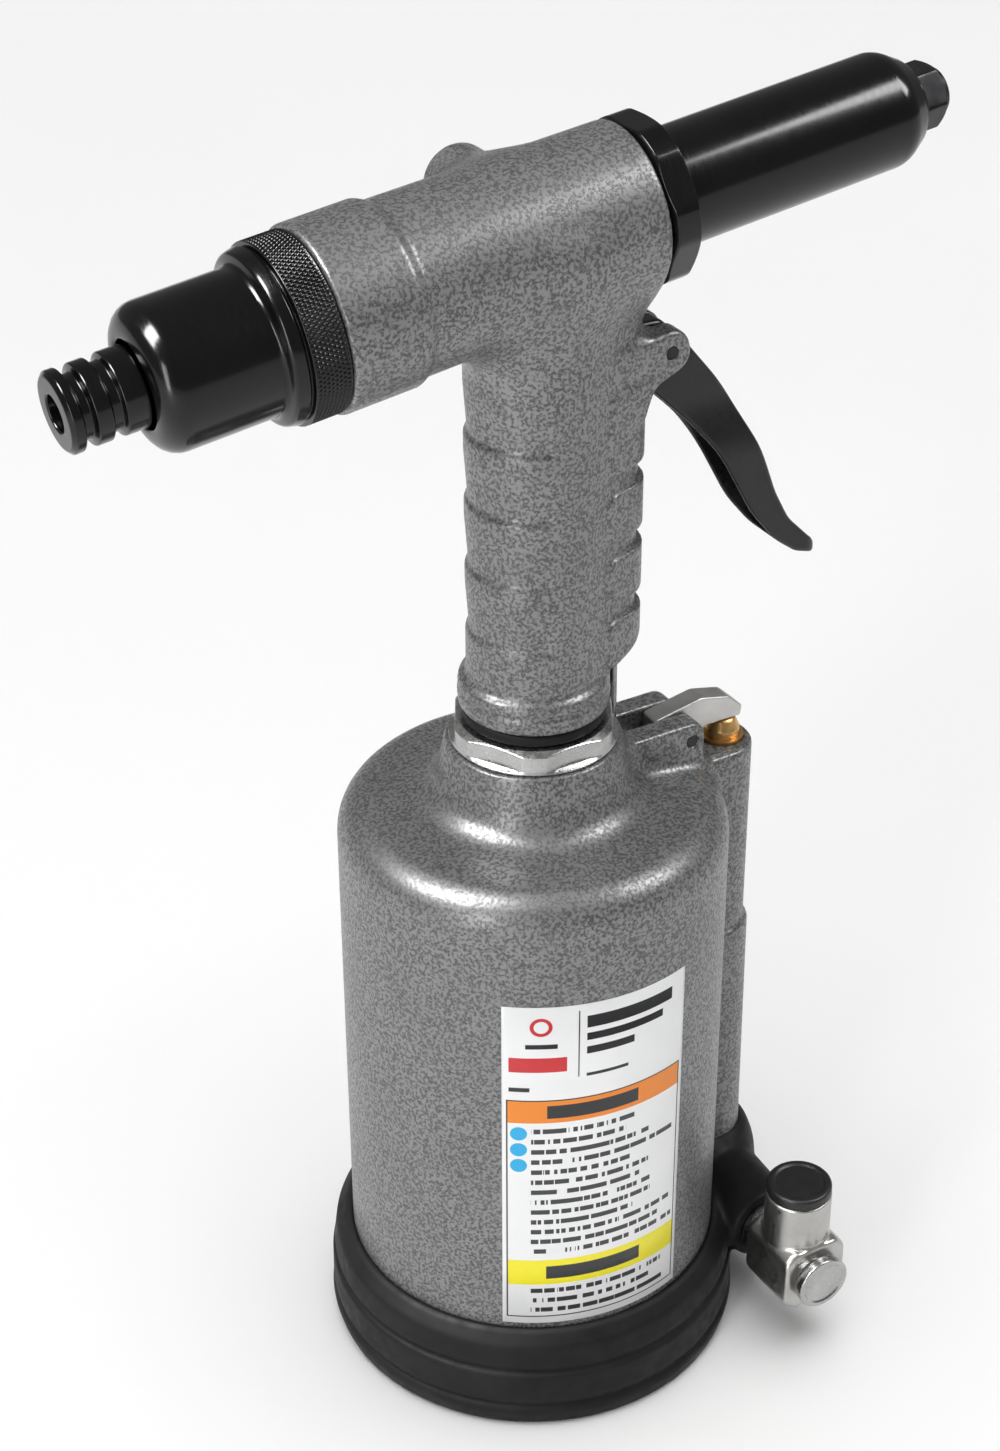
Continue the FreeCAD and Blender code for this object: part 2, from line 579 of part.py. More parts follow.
def trigger():
    """Folded sheet lever, a channel open towards the grip with a solid turned-out tip."""
    tip = [(71.0, 204.8, 10), (75.2, 200.8, 1.0), (73.6, 199.4, 1.0), (67.8, 201.2, 8)]
    rear = [(61.8, 205.8, 20), (54.6, 214.6, 40), (45.4, 231.6, 60), (38.0, 240.8, 60), (28.6, 250.0, 3),
            (25.6, 256.5, 3)]
    arm = [(19.4, 265.2, 1.0), (24, 267.0, 2)]
    body = plate(arm + trigger_front(0) + tip + rear, TRIGGER_WIDE).common(planform(0))
    channel = plate(
        [(16, 263.6)] + trigger_front(SHEET) + [(66.0, 207.5), (52, 200), (30, 230), (16, 248)], TRIGGER_WIDE)
    body = body.cut(channel.common(planform(SHEET)))
    rounded_end = Part.makeCylinder(7.5, 100, Vector(TRIGGER_END - 7.5, 0, 180))
    top_view = rounded_end.fuse(Part.makeBox(TRIGGER_END - 7.5, 15, 100, Vector(0, -7.5, 180)))
    rod_slot = Part.makeBox(6, 2.4, 12, Vector(18.5, -1.2, 258))
    pin_hole = rod(TRIGGER_PIN_RADIUS + FIT, TRIGGER_PIVOT - SIDE * 8, TRIGGER_PIVOT + SIDE * 8)
    return body.common(top_view).cut([rod_slot, pin_hole])


def trigger_pin():
    """Pin through the ears and the trigger."""
    return rod(TRIGGER_PIN_RADIUS, TRIGGER_PIVOT - SIDE * 8.8, TRIGGER_PIVOT + SIDE * 8.8)


def pull_rod():
    """Thin rod from the trigger down to the rocker, with a head at each end."""
    bar = rod(ROD_RADIUS, Vector(ROD_X, 0, ROD_BOTTOM), Vector(ROD_X, 0, ROD_TOP + 1))
    top_head = Part.makeCylinder(2.2, 1.8, Vector(ROD_X, 0, ROD_TOP))
    lower_nut = Part.makeCylinder(2.2, 2.2, Vector(ROD_X, 0, ROD_BOTTOM))
    return bar.fuse([top_head, lower_nut])


def valve_rocker():
    """Plated lever that turns the rod's pull into a push on the valve stem."""
    body = plate([
        (19.2, 159.6), (31.6, 159.6), (31.6, 164.4, 0.5), (45.0, 166.8, 3), (53.0, 164.6, 3), (56.8, 161.0, 1),
        (56.4, 158.6, 0.5), (46.5, 158.6, 1), (43.0, 156.4, 1.5), (34, 156.4), (31, 158.0), (19.2, 158.0)],
        ROCKER_HALF_WIDTH)
    rod_slot = Part.makeBox(6, 2.6, 10, Vector(17.5, -1.3, 154))
    body = body.cut(rod_slot)
    return body.cut(rod(1.5 + FIT, ROCKER_PIVOT - SIDE * 8, ROCKER_PIVOT + SIDE * 8))


def rocker_pin():
    """Pin through the fork and the rocker."""
    return rod(1.5, ROCKER_PIVOT - SIDE * 9.0, ROCKER_PIVOT + SIDE * 9.0)


def valve_stem():
    """Brass throttle stem with a domed button under the rocker."""
    return upright([
        (0, 108), (2.5, 108, 0.3), (2.5, 118), (3.6, 118), (3.6, 121), (2.0, 122), (2.0, 146),
        (VALVE_RADIUS, 146, 0.3), (VALVE_RADIUS, 158.2, 1.6), (0, 158.3)]).translated(Vector(VALVE_X, 0, 0))


def valve_bush():
    """Bush that guides the valve stem in the column."""
    bush = ring(VALVE_GUIDE, VALVE_BORE - FIT, 128, COLUMN_TOP + 0.5)
    seat = ring(3.0, VALVE_BORE - FIT, 123.5, 128)
    return bush.fuse(seat).translated(Vector(VALVE_X, 0, 0))


def valve_spring():
    """Spring under the valve stem."""
    spring = coil(4.2, 0.5, 98.6, 116.8, 6)
    spring.Placement = Placement(Vector(VALVE_X, 0, 98.6), Rotation())
    return spring


def exhaust_muffler():
    """Porous plug in the exhaust port near the step of the column."""
    return rod(3.0 - FIT, Vector(57.5, 0, EXHAUST_HEIGHT), Vector(61.4, 0, EXHAUST_HEIGHT))


# ---- swivel air inlet --------------------------------------------------------------------------
def banjo_bolt():
    """Hollow bolt that carries the swivel body, with a round head."""
    shaft = rod(BANJO_RADIUS, Vector(INLET_X, 2, INLET_Z), Vector(INLET_X, -57, INLET_Z))
    bolt_head = rod(7.2, Vector(INLET_X, SWIVEL_Y - SWIVEL_HALF - 1.3, INLET_Z),
                    Vector(INLET_X, SWIVEL_Y - SWIVEL_HALF - 4.0, INLET_Z))
    hollow = rod(2.8, Vector(INLET_X, 4, INLET_Z), Vector(INLET_X, -48, INLET_Z))
    cross = rod(2.2, Vector(INLET_X, SWIVEL_Y, INLET_Z - 9), Vector(INLET_X, SWIVEL_Y, INLET_Z + 9))
    return shaft.fuse(bolt_head).cut([hollow, cross])


def swivel_spacer():
    """Polished collar between the sleeve and the swivel body."""
    outer = rod(7.4, Vector(INLET_X, SLEEVE_TIP - 0.2, INLET_Z), Vector(INLET_X, -36.6, INLET_Z))
    return outer.cut(rod(BANJO_RADIUS + FIT, Vector(INLET_X, -30, INLET_Z), Vector(INLET_X, -40, INLET_Z)))


def swivel_seals():
    """Two O-rings that seal the swivel body on the bolt."""
    rings = []
    for offset in SWIVEL_SEAL_OFFSETS:
        middle = Vector(INLET_X, SWIVEL_Y + offset, INLET_Z)
        outer = rod(SWIVEL_GROOVE - 2 * FIT, middle - SIDE * 0.9, middle + SIDE * 0.9)
        rings.append(outer.cut(rod(BANJO_RADIUS + 2 * FIT, middle - SIDE * 2, middle + SIDE * 2)))
    return Part.makeCompound(rings)


def swivel_body():
    """Rounded block that turns on the bolt, with the upright inlet tube."""
    low = Vector(INLET_X - SWIVEL_HALF, SWIVEL_Y - SWIVEL_HALF, INLET_Z - SWIVEL_HALF)
    block = Part.makeBox(2 * SWIVEL_HALF, 2 * SWIVEL_HALF, 2 * SWIVEL_HALF, low)
    middle = Vector(INLET_X, SWIVEL_Y, INLET_Z)
    drum = rod(10.9, middle - SIDE * SWIVEL_HALF, middle + SIDE * SWIVEL_HALF)
    ball = Part.makeSphere(13.6, middle)
    body = block.common(drum).common(ball)
    tube = Part.makeCylinder(INLET_TUBE_RADIUS, INLET_TUBE_TOP - INLET_Z, Vector(INLET_X, SWIVEL_Y, INLET_Z))
    body = body.fuse(tube)
    bolt_way = rod(BANJO_RADIUS + FIT, Vector(INLET_X, 0, INLET_Z), Vector(INLET_X, -80, INLET_Z))
    seal_grooves = [
        rod(SWIVEL_GROOVE, Vector(INLET_X, SWIVEL_Y + offset - 1, INLET_Z),
            Vector(INLET_X, SWIVEL_Y + offset + 1, INLET_Z))
        for offset in SWIVEL_SEAL_OFFSETS]
    passage = rod(3.0, middle, middle + UP * 10)
    thread_bottom = INLET_THREAD_TOP - INLET_THREAD_LENGTH
    thread = rod(INLET_THREAD_RADIUS, Vector(INLET_X, SWIVEL_Y, thread_bottom),
                 Vector(INLET_X, SWIVEL_Y, INLET_THREAD_TOP))
    mouth = rod(6.9, Vector(INLET_X, SWIVEL_Y, INLET_THREAD_TOP), Vector(INLET_X, SWIVEL_Y, INLET_TUBE_TOP + 1))
    return body.cut([bolt_way, passage, thread, mouth] + seal_grooves)


def dust_plug():
    """Push-in plastic plug that keeps dirt out of the air inlet."""
    return upright([
        (0, INLET_THREAD_TOP + 1.2), (6.85, INLET_THREAD_TOP + 1.2), (6.85, INLET_TUBE_TOP + FIT),
        (8.2, INLET_TUBE_TOP + FIT), (8.2, INLET_PLUG_TOP, 0.8), (0, INLET_PLUG_TOP)]).translated(Vector(INLET_X, SWIVEL_Y, 0))


# ---- label -------------------------------------------------------------------------------------
def label():
    """Thin data label wrapped on the side of the cylinder."""
    half_angle = math.degrees(LABEL_WIDTH / 2 / CYLINDER_RADIUS)
    shell = ring(CYLINDER_RADIUS + 0.02, CYLINDER_RADIUS + 0.22, LABEL_BOTTOM, LABEL_TOP)
    wedge = Part.makeCylinder(60, 200, Vector(0, 0, 0), UP, 2 * half_angle)
    wedge.rotate(Vector(0, 0, 0), UP, LABEL_BEARING - half_angle)
    return shell.common(wedge)


NODES = {
    "base_boot": base_boot,
    "air_cylinder": air_cylinder,
    "cylinder_end_cap": cylinder_end_cap,
    "end_cap_seal": end_cap_seal,
    "retaining_ring": retaining_ring,
    "air_piston": air_piston,
    "air_piston_seal": air_piston_seal,
    "hydraulic_ram": hydraulic_ram,
    "piston_nut": piston_nut,
    "gun_body": gun_body,
    "bleed_screw": bleed_screw,
    "bleed_washer": bleed_washer,
    "ram_gland": ram_gland,
    "ram_seal": ram_seal,
    "lock_nut": lock_nut,
    "neck_seal": neck_seal,
    "head_piston": head_piston,
    "head_piston_seal": head_piston_seal,
    "rod_gland": rod_gland,
    "jaw_case": jaw_case,
    "jaws": jaws,
    "jaw_pusher": jaw_pusher,
    "jaw_spring": jaw_spring,
    "return_spring": return_spring,
    "frame_head": frame_head,
    "head_lock_nut": head_lock_nut,
    "nosepiece": nosepiece,
    "rear_cap": rear_cap,
    "mandrel_outlet": mandrel_outlet,
    "trigger": trigger,
    "trigger_pin": trigger_pin,
    "pull_rod": pull_rod,
    "valve_rocker": valve_rocker,
    "rocker_pin": rocker_pin,
    "valve_stem": valve_stem,
    "valve_bush": valve_bush,
    "valve_spring": valve_spring,
    "exhaust_muffler": exhaust_muffler,
    "banjo_bolt": banjo_bolt,
    "swivel_spacer": swivel_spacer,
    "swivel_seals": swivel_seals,
    "swivel_body": swivel_body,
    "dust_plug": dust_plug,
    "label": label,
}

os.makedirs("parts", exist_ok=True)
for name, make in NODES.items():
    shape = make()
    print(name, "solids", len(shape.Solids), "volume", round(shape.Volume, 1), "valid", shape.isValid())
    shape.exportStep("parts/" + name + ".step")
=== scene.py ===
import json
import math

import bpy
import numpy as np
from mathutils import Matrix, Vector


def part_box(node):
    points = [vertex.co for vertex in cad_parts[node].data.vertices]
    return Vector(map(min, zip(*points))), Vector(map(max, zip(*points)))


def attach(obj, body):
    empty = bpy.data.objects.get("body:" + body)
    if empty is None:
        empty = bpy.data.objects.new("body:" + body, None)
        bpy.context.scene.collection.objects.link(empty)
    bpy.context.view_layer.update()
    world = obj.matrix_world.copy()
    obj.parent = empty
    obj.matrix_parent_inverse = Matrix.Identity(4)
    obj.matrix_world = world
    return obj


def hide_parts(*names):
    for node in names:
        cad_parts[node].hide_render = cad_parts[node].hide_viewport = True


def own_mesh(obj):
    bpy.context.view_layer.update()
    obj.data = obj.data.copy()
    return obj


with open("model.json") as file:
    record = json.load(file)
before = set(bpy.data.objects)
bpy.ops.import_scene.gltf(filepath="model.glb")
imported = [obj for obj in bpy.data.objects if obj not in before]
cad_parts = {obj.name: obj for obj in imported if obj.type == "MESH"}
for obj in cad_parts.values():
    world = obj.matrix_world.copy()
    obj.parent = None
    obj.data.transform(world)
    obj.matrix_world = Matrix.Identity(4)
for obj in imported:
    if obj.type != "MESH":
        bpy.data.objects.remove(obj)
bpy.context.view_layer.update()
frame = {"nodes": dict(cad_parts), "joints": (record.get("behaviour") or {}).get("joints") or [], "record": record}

import openvdb
from mathutils import Matrix, Vector

# Pneumatic rivet gun.  Shapes are worked out in millimetres in the frame of the CAD model and scaled to
# metres when their meshes are made.  Castings, the rubber base, the trigger, the rocker and the inlet block
# are distance fields with real fillets; turned parts are revolved profiles with rounded corners.  Pieces deep
# inside stay as the CAD made them; two springs are copied from the CAD into pieces of their own.

MM = 0.001
RECORD = frame["record"]
MOUNTS = {mount["name"]: mount for mount in RECORD["mounts"]}
JOINTS = {joint["name"]: joint for joint in frame["joints"]}


def node_box(node):
    """Lowest and highest corner of a CAD node in millimetres."""
    low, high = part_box(node)
    return low / MM, high / MM


def joint_place(name):
    """Pivot of a hinge in millimetres."""
    return Vector(JOINTS[name]["pos_m"]) / MM


# ---- places taken from the frame ---------------------------------------------------------------
NOSE = MOUNTS["rivet_nose"]
BARREL_AXIS = Vector(NOSE["axis"]).normalized()
NOSE_POINT = Vector(NOSE["pos_m"]) / MM
BARREL_HEIGHT = NOSE_POINT.z - NOSE_POINT.x * BARREL_AXIS.z / BARREL_AXIS.x
BARREL_ORIGIN = Vector((0, 0, BARREL_HEIGHT))
TRIGGER_PIVOT = joint_place("trigger_pull")
ROCKER_PIVOT = joint_place("rocker_turn")
INLET = joint_place("swivel_turn")
GRIP_BOTTOM = node_box("neck_seal")[1].z
NUT_BOTTOM = node_box("lock_nut")[0].z
NUT_TOP = node_box("lock_nut")[1].z
BASE_TOP = 28.0
CYLINDER_FOOT = 12.0
CYLINDER_RADIUS = node_box("air_cylinder")[1].y
VALVE_X = (node_box("valve_stem")[0].x + node_box("valve_stem")[1].x) / 2
COLUMN_X = INLET.x
COLUMN_TOP = node_box("valve_bush")[1].z - 0.5
COLUMN_STEP = 101.0
SLOT_HALF_WIDTH = 3.2
PULL_ROD_X = 21.5


# ---- outlines ----------------------------------------------------------------------------------
def rounded(points, steps=6):
    """Closed outline through (u, v) or (u, v, corner_radius) points, as an array of plain points."""
    places = [np.array(point[:2], float) for point in points]
    line = []
    for i, here in enumerate(places):
        radius = points[i][2] if len(points[i]) > 2 else 0.0
        if radius == 0:
            line.append(here)
            continue
        before = places[i - 1] - here
        after = places[(i + 1) % len(places)] - here
        before /= np.linalg.norm(before)
        after /= np.linalg.norm(after)
        half = math.acos(max(-1.0, min(1.0, float(before @ after)))) / 2
        inward = (before + after) / np.linalg.norm(before + after)
        centre = here + inward * radius / math.sin(half)
        start = here + before * radius / math.tan(half) - centre
        end = here + after * radius / math.tan(half) - centre
        turn = math.atan2(start[0] * end[1] - start[1] * end[0], float(start @ end))
        for k in range(steps + 1):
            angle = turn * k / steps
            c, s = math.cos(angle), math.sin(angle)
            line.append(centre + np.array([start[0] * c - start[1] * s, start[0] * s + start[1] * c]))
    return np.array(line)


def outline_distance(points, u, v):
    """Signed distance to a closed outline, negative inside."""
    line = rounded(points)
    shape = np.broadcast(u, v).shape
    nearest = np.full(shape, 1e9, np.float32)
    inside = np.zeros(shape, bool)
    for i in range(len(line)):
        (au, av), (bu, bv) = line[i - 1], line[i]
        du, dv = bu - au, bv - av
        length2 = du * du + dv * dv
        if length2 < 1e-12:
            continue
        share = np.clip(((u - au) * du + (v - av) * dv) / length2, 0, 1)
        nearest = np.minimum(nearest, np.hypot(u - au - share * du, v - av - share * dv))
        crosses = (av <= v) != (bv <= v)
        if dv != 0:
            inside ^= crosses & (u < au + (v - av) / dv * du)
    return np.where(inside, -nearest, nearest).astype(np.float32)


# ---- distance fields ---------------------------------------------------------------------------
def join(a, b, radius):
    """Union of two fields with a concave fillet."""
    corner = np.hypot(np.maximum(radius - a, 0), np.maximum(radius - b, 0))
    return np.maximum(radius, np.minimum(a, b)) - corner


def meet(a, b, radius):
    """Intersection of two fields with a rounded edge."""
    return -join(-a, -b, radius)


def carve(a, b, radius):
    """The first field with the second taken away, its edge rounded."""
    return meet(a, -b, radius)


def slab(value, low, high):
    """Distance to the space between two parallel planes."""
    return np.maximum(low - value, value - high)


def turned_distance(profile, along, radius, step=0.25):
    """Distance to a body of revolution, read from a table made over its half section."""
    u0, u1 = float(along.min()), float(along.max()) + step
    v1 = float(radius.max()) + step
    us = np.arange(u0, u1 + step, step, dtype=np.float32)[:, None]
    vs = np.arange(-step, v1 + step, step, dtype=np.float32)[None, :]
    table = outline_distance(profile, us, vs)
    i = (along - u0) / step
    j = (radius + step) / step
    i0 = np.floor(i).astype(np.int32)
    j0 = np.floor(j).astype(np.int32)
    fi = i - i0
    fj = j - j0
    low = table[i0, j0] * (1 - fi) + table[i0 + 1, j0] * fi
    high = table[i0, j0 + 1] * (1 - fi) + table[i0 + 1, j0 + 1] * fi
    return (low * (1 - fj) + high * fj).astype(np.float32)


def upright_distance(profile, x, y, z):
    """Distance to a body turned about the upright axis, its profile in (height, radius) points."""
    return turned_distance(profile, z + 0 * x + 0 * y, np.hypot(x, y) + 0 * z)


def cross_hole(x, y, z, centre, radius):
    """Round hole along Y, as long as any piece is wide."""
    return np.maximum(np.hypot(x - centre.x, z - centre.z) - radius, np.abs(y) - 20)


def middle_slot(x, y, z, along, height):
    """Slot in the plane of symmetry between two stations and two heights."""
    return np.maximum(np.abs(y) - SLOT_HALF_WIDTH, np.maximum(slab(x, *along), slab(z, *height)))


def mesh_piece(name, points, faces):
    """A new object from points in millimetres and faces."""
    mesh = bpy.data.meshes.new(name)
    mesh.from_pydata(np.asarray(points) * MM, [], faces)
    mesh.validate()
    mesh.polygons.foreach_set("use_smooth", [True] * len(mesh.polygons))
    mesh.update()
    piece = bpy.data.objects.new(name, mesh)
    bpy.context.scene.collection.objects.link(piece)
    return piece


def field_piece(name, field, low, high, voxel):
    """A new object from a distance field over a box."""
    axes = [np.arange(low[i], high[i] + voxel, voxel, dtype=np.float32) for i in range(3)]
    x, y, z = np.meshgrid(*axes, indexing="ij", sparse=True)
    values = field(x, y, z)
    reach = 3 * voxel
    grid = openvdb.FloatGrid(reach)
    grid.copyFromArray(np.clip(values, -reach, reach).astype(np.float64))
    points, quads = grid.convertToQuads(0.0)
    points = np.asarray(points) * voxel + np.array([axis[0] for axis in axes])
    return mesh_piece(name, points, np.asarray(quads).tolist())


def barrel_coordinates(x, z):
    """Station along the raked barrel axis and height above it."""
    up = z - BARREL_HEIGHT
    return x * BARREL_AXIS.x + up * BARREL_AXIS.z, up * BARREL_AXIS.x - x * BARREL_AXIS.z


# ---- turned pieces -----------------------------------------------------------------------------
BARREL_FRAME = Matrix.Translation(BARREL_ORIGIN) @ Matrix.Rotation(-math.asin(BARREL_AXIS.z), 4, "Y")
UPRIGHT_FRAME = Matrix.Rotation(math.radians(-90), 4, "Y")


def row_spacing(line, dense):
    """Adds rows to a closed profile: stretches above a radius and between two stations get even steps."""
    rows = []
    for i in range(len(line)):
        start, end = line[i - 1], line[i]
        middle = (start[0] + end[0]) / 2
        outer = min(start[1], end[1]) > dense["above"] if dense else False
        count = 1
        if outer and dense["from"] <= middle <= dense["to"]:
            count = max(1, int(np.linalg.norm(end - start) / dense["step"]))
        rows += [start + (end - start) * k / count for k in range(count)]
    return rows


def turned_piece(name, profile, place, segments=144, shape=None, dense=None):
    """A new object revolved about its own X axis; shape(station, radius, angle) may change the radius."""
    line = rounded(profile)
    rows = row_spacing(line, dense)
    kept = [rows[0]]
    for row in rows[1:]:
        if np.linalg.norm(row - kept[-1]) > 1e-4:
            kept.append(row)
    if np.linalg.norm(kept[0] - kept[-1]) < 1e-4:
        kept.pop()
    angles = np.arange(segments) * 2 * math.pi / segments
    points = []
    for station, radius in kept:
        radii = np.full(segments, radius)
        if shape:
            radii = shape(station, radius, angles)
        ring = np.stack([np.full(segments, station), radii * np.cos(angles), radii * np.sin(angles)], 1)
        points.append(ring)
    count = len(kept)
    faces = []
    for i in range(count):
        for k in range(segments):
            right = (k + 1) % segments
            below = (i + 1) % count
            faces.append((
                i * segments + k, i * segments + right, below * segments + right, below * segments + k))
    matrix = np.array(place)
    cloud = np.concatenate(points) @ matrix[:3, :3].T + matrix[:3, 3]
    piece = mesh_piece(name, cloud, faces)
    normals = piece.modifiers.new("even shading", "WEIGHTED_NORMAL")
    normals.mode = "FACE_AREA_WITH_ANGLE"
    return piece


def soft_lower(a, b, width):
    """Smaller of two values, with the crossing rounded over a width."""
    blend = np.clip(0.5 + 0.5 * (b - a) / width, 0, 1)
    return b * (1 - blend) + a * blend - width * blend * (1 - blend)


def hexagon_shape(across_flats, bore, turn=0.0, width=0.25, start=-1000.0):
    """Radius rule that cuts a turned blank down to six flats, from a station onwards."""
    def shape(station, radius, angles):
        if radius < bore + 0.5 or station < start:
            return np.full(len(angles), radius)
        sector = (angles + turn) % (math.pi / 3) - math.pi / 6
        return soft_lower(np.full(len(angles), radius), across_flats / 2 / np.cos(sector), width)
    return shape


def nut_profile(start, end, bore, radius, chamfer):
    """Half section of a nut blank with both faces chamfered."""
    return [(start, bore, 0.3), (start, radius - chamfer, 0.2), (start + chamfer * 0.55, radius, 0.2),
            (end - chamfer * 0.55, radius, 0.2), (end, radius - chamfer, 0.2), (end, bore, 0.3)]


# ---- castings ----------------------------------------------------------------------------------
GRIP_RADIUS = 15.4
RIB_X = 16.5
RIB_RADIUS = 10.0
PALM_DEPTH = 0.8
PALM_GROOVES = (248.3, 232.2, 216.1, 200.0)
FINGER_PADS = ((237.0, 256.0), (220.8, 232.4), (204.9, 216.3), (188.5, 200.4))
COLLAR_TOP = 187.0
HEAD_FACE = 22.4


def grip_section(x, y, rear, front):
    """Distance to the grip's section, a hull of a rear circle and a smaller front circle."""
    slope = (rear - front) / RIB_X
    flat = np.sqrt(1 - slope * slope)
    side = np.abs(y)
    share = -slope * side + flat * x
    on_rear = np.hypot(x, y) - rear
    on_front = np.hypot(x - RIB_X, y) - front
    between = flat * side + slope * x - rear
    return np.where(share < 0, on_rear, np.where(share > flat * RIB_X, on_front, between))


def smooth_step(share):
    """A value from 0 to 1 eased at both ends."""
    return share * share * (3 - 2 * share)


def palm_relief(x, z):
    """Depth of the stepped grooves across the palm side, each a ledge that faces up."""
    depth = np.zeros_like(z)
    for groove in PALM_GROOVES:
        over = z - groove
        rise = np.clip(1 - over / 11.0, 0, 1) * (over >= 0)
        ledge = np.clip(1 + over / 1.2, 0, 1) * (over < 0)
        depth = np.maximum(depth, rise + ledge)
    return PALM_DEPTH * depth * smooth_step(np.clip((-3.2 - x) / 1.6, 0, 1))


def grip_field(x, y, z):
    """Handle with palm grooves, finger pads and its collar."""
    core = grip_section(x, y, GRIP_RADIUS - palm_relief(x, z), RIB_RADIUS - 1.4)
    pads = grip_section(x, y, np.float32(GRIP_RADIUS), RIB_RADIUS)
    rests = np.full(np.broadcast(x, z).shape, 1e3, np.float32)
    for low, high in FINGER_PADS:
        rests = np.minimum(rests, outline_distance(
            [(12.2, low, 2.5), (45, low), (45, high), (12.2, high, 2.5)], x, z))
    core = join(core, meet(pads, rests, 0.35), 0.3)
    above_undercut = (z - 187.5) * 0.93 - (x - 16.0) * 0.36
    core = meet(core, -above_undercut, 2.5)
    palm = np.hypot(x, y) - (GRIP_RADIUS - palm_relief(x, z))
    handle = np.minimum(core, palm)
    handle = meet(handle, slab(z, COLLAR_TOP - 3, BARREL_HEIGHT), 0.1)
    collar = upright_distance([
        (GRIP_BOTTOM, 0), (GRIP_BOTTOM, 17.2, 0.8), (183.0, 17.5, 0.5), (183.9, 16.9, 0.4),
        (184.8, 17.4, 0.5), (COLLAR_TOP, 17.0, 1.2), (COLLAR_TOP + 2, 0)], x, y, z)
    return join(handle, collar, 1.6)


def ears_field(x, y, z):
    """Pair of ears in front of the grip that hold the trigger pin."""
    px, pz = TRIGGER_PIVOT.x, TRIGGER_PIVOT.z
    side = outline_distance([
        (6, pz + 2.0), (18.5, pz + 3.4, 3), (px + 3.8, pz + 5.6, 4.6), (px + 5.6, pz - 3.2, 4.8),
        (px - 4.2, pz - 7.6, 6), (22.0, pz - 13), (6, pz - 13)], x, z)
    return meet(side, np.abs(y) - 9.0, 1.3)


def head_field(x, y, z):
    """Raked head with its rear collar and the boss for the oil screw on the far side."""
    station, height = barrel_coordinates(x, z)
    profile = [
        (-53.2, 0), (-53.2, 20.0, 0.7), (-36.4, 20.0, 1.4), (-34.0, 18.8, 1.6), (HEAD_FACE, 18.3, 0.8),
        (HEAD_FACE, 0)]
    tube = turned_distance(profile, station + 0 * y, np.hypot(y, height))
    from_boss = np.hypot(station + 3.0, height - 5.0)
    boss = meet(from_boss - 8.2, slab(y, 0, 28.0), 2.5)
    body = join(tube, boss, 7.0)
    sink = np.maximum(from_boss - 5.2, 22.2 - y)
    return carve(body, sink, 0.5)


def gun_body_field(x, y, z):
    """Whole upper casting, with its bore, the slot for the trigger and the hole for the pull rod."""
    body = join(head_field(x, y, z), grip_field(x, y, z), 9.0)
    body = join(body, ears_field(x, y, z), 3.5)
    station, height = barrel_coordinates(x, z)
    nut_seat = np.maximum(HEAD_FACE + 0.05 - station, np.hypot(y, height) - 20.0)
    body = carve(body, nut_seat, 0.3)
    body = carve(body, middle_slot(x, y, z, (17.5, 60), (249.0, 273.0)), 0.4)
    rod_hole = np.maximum(np.hypot(x - PULL_ROD_X, y) - 1.5, slab(z, 150, 273))
    body = carve(body, rod_hole, 0.3)
    from_axis = np.hypot(y, height)
    bore = np.minimum(np.maximum(from_axis - 14.7, slab(station, -46, 11)), from_axis - 8.0)
    body = carve(body, bore, 0.3)
    body = carve(body, cross_hole(x, y, z, TRIGGER_PIVOT, 1.5), 0.2)
    spigot = np.maximum(np.hypot(x, y) - 13.0, slab(z, NUT_BOTTOM - 8, 184))
    return np.minimum(body, spigot)


def column_distance(x, y, radius):
    """Section of the valve column, a round post with a web to the cylinder wall."""
    return np.hypot(x - np.clip(x, 30, COLUMN_X), y) - radius


def shell_field(x, y, z):
    """Outside of the air cylinder without its column."""
    return upright_distance([
        (CYLINDER_FOOT, 0), (CYLINDER_FOOT, CYLINDER_RADIUS), (152.8, CYLINDER_RADIUS, 9.0),
        (155.8, 23.6, 8.5), (NUT_BOTTOM - 0.1, 20.4, 0.8), (NUT_BOTTOM - 0.1, 0)], x, y, z)


def cylinder_field(x, y, z):
    """Air cylinder casting with the valve column and the fork of the rocker."""
    column = meet(column_distance(x, y, 9.5), slab(z, CYLINDER_FOOT, COLUMN_TOP), 1.2)
    foot_radius = 10.6 + (COLUMN_STEP - z) * 0.008
    foot = meet(column_distance(x, y, foot_radius), slab(z, CYLINDER_FOOT, COLUMN_STEP), 0.9)
    body = join(shell_field(x, y, z), np.minimum(column, foot), 2.5)
    side = outline_distance([(8, 148), (42, 148), (42, 165.1, 4.2), (8, 165.1)], x, z)
    fork = meet(side, np.abs(y) - 9.3, 1.2)
    body = join(body, fork, 3.0)
    body = carve(body, middle_slot(x, y, z, (18.6, 80), (153.2, 180)), 0.4)
    body = carve(body, cross_hole(x, y, z, ROCKER_PIVOT, 1.6), 0.2)
    valve_hole = np.maximum(np.hypot(x - VALVE_X, y) - 5.5, slab(z, 140, 180))
    exhaust = np.maximum(np.hypot(y, z - 95.0) - 3.1, slab(x, 58.2, 80))
    return carve(carve(body, valve_hole, 0.4), exhaust, 0.3)


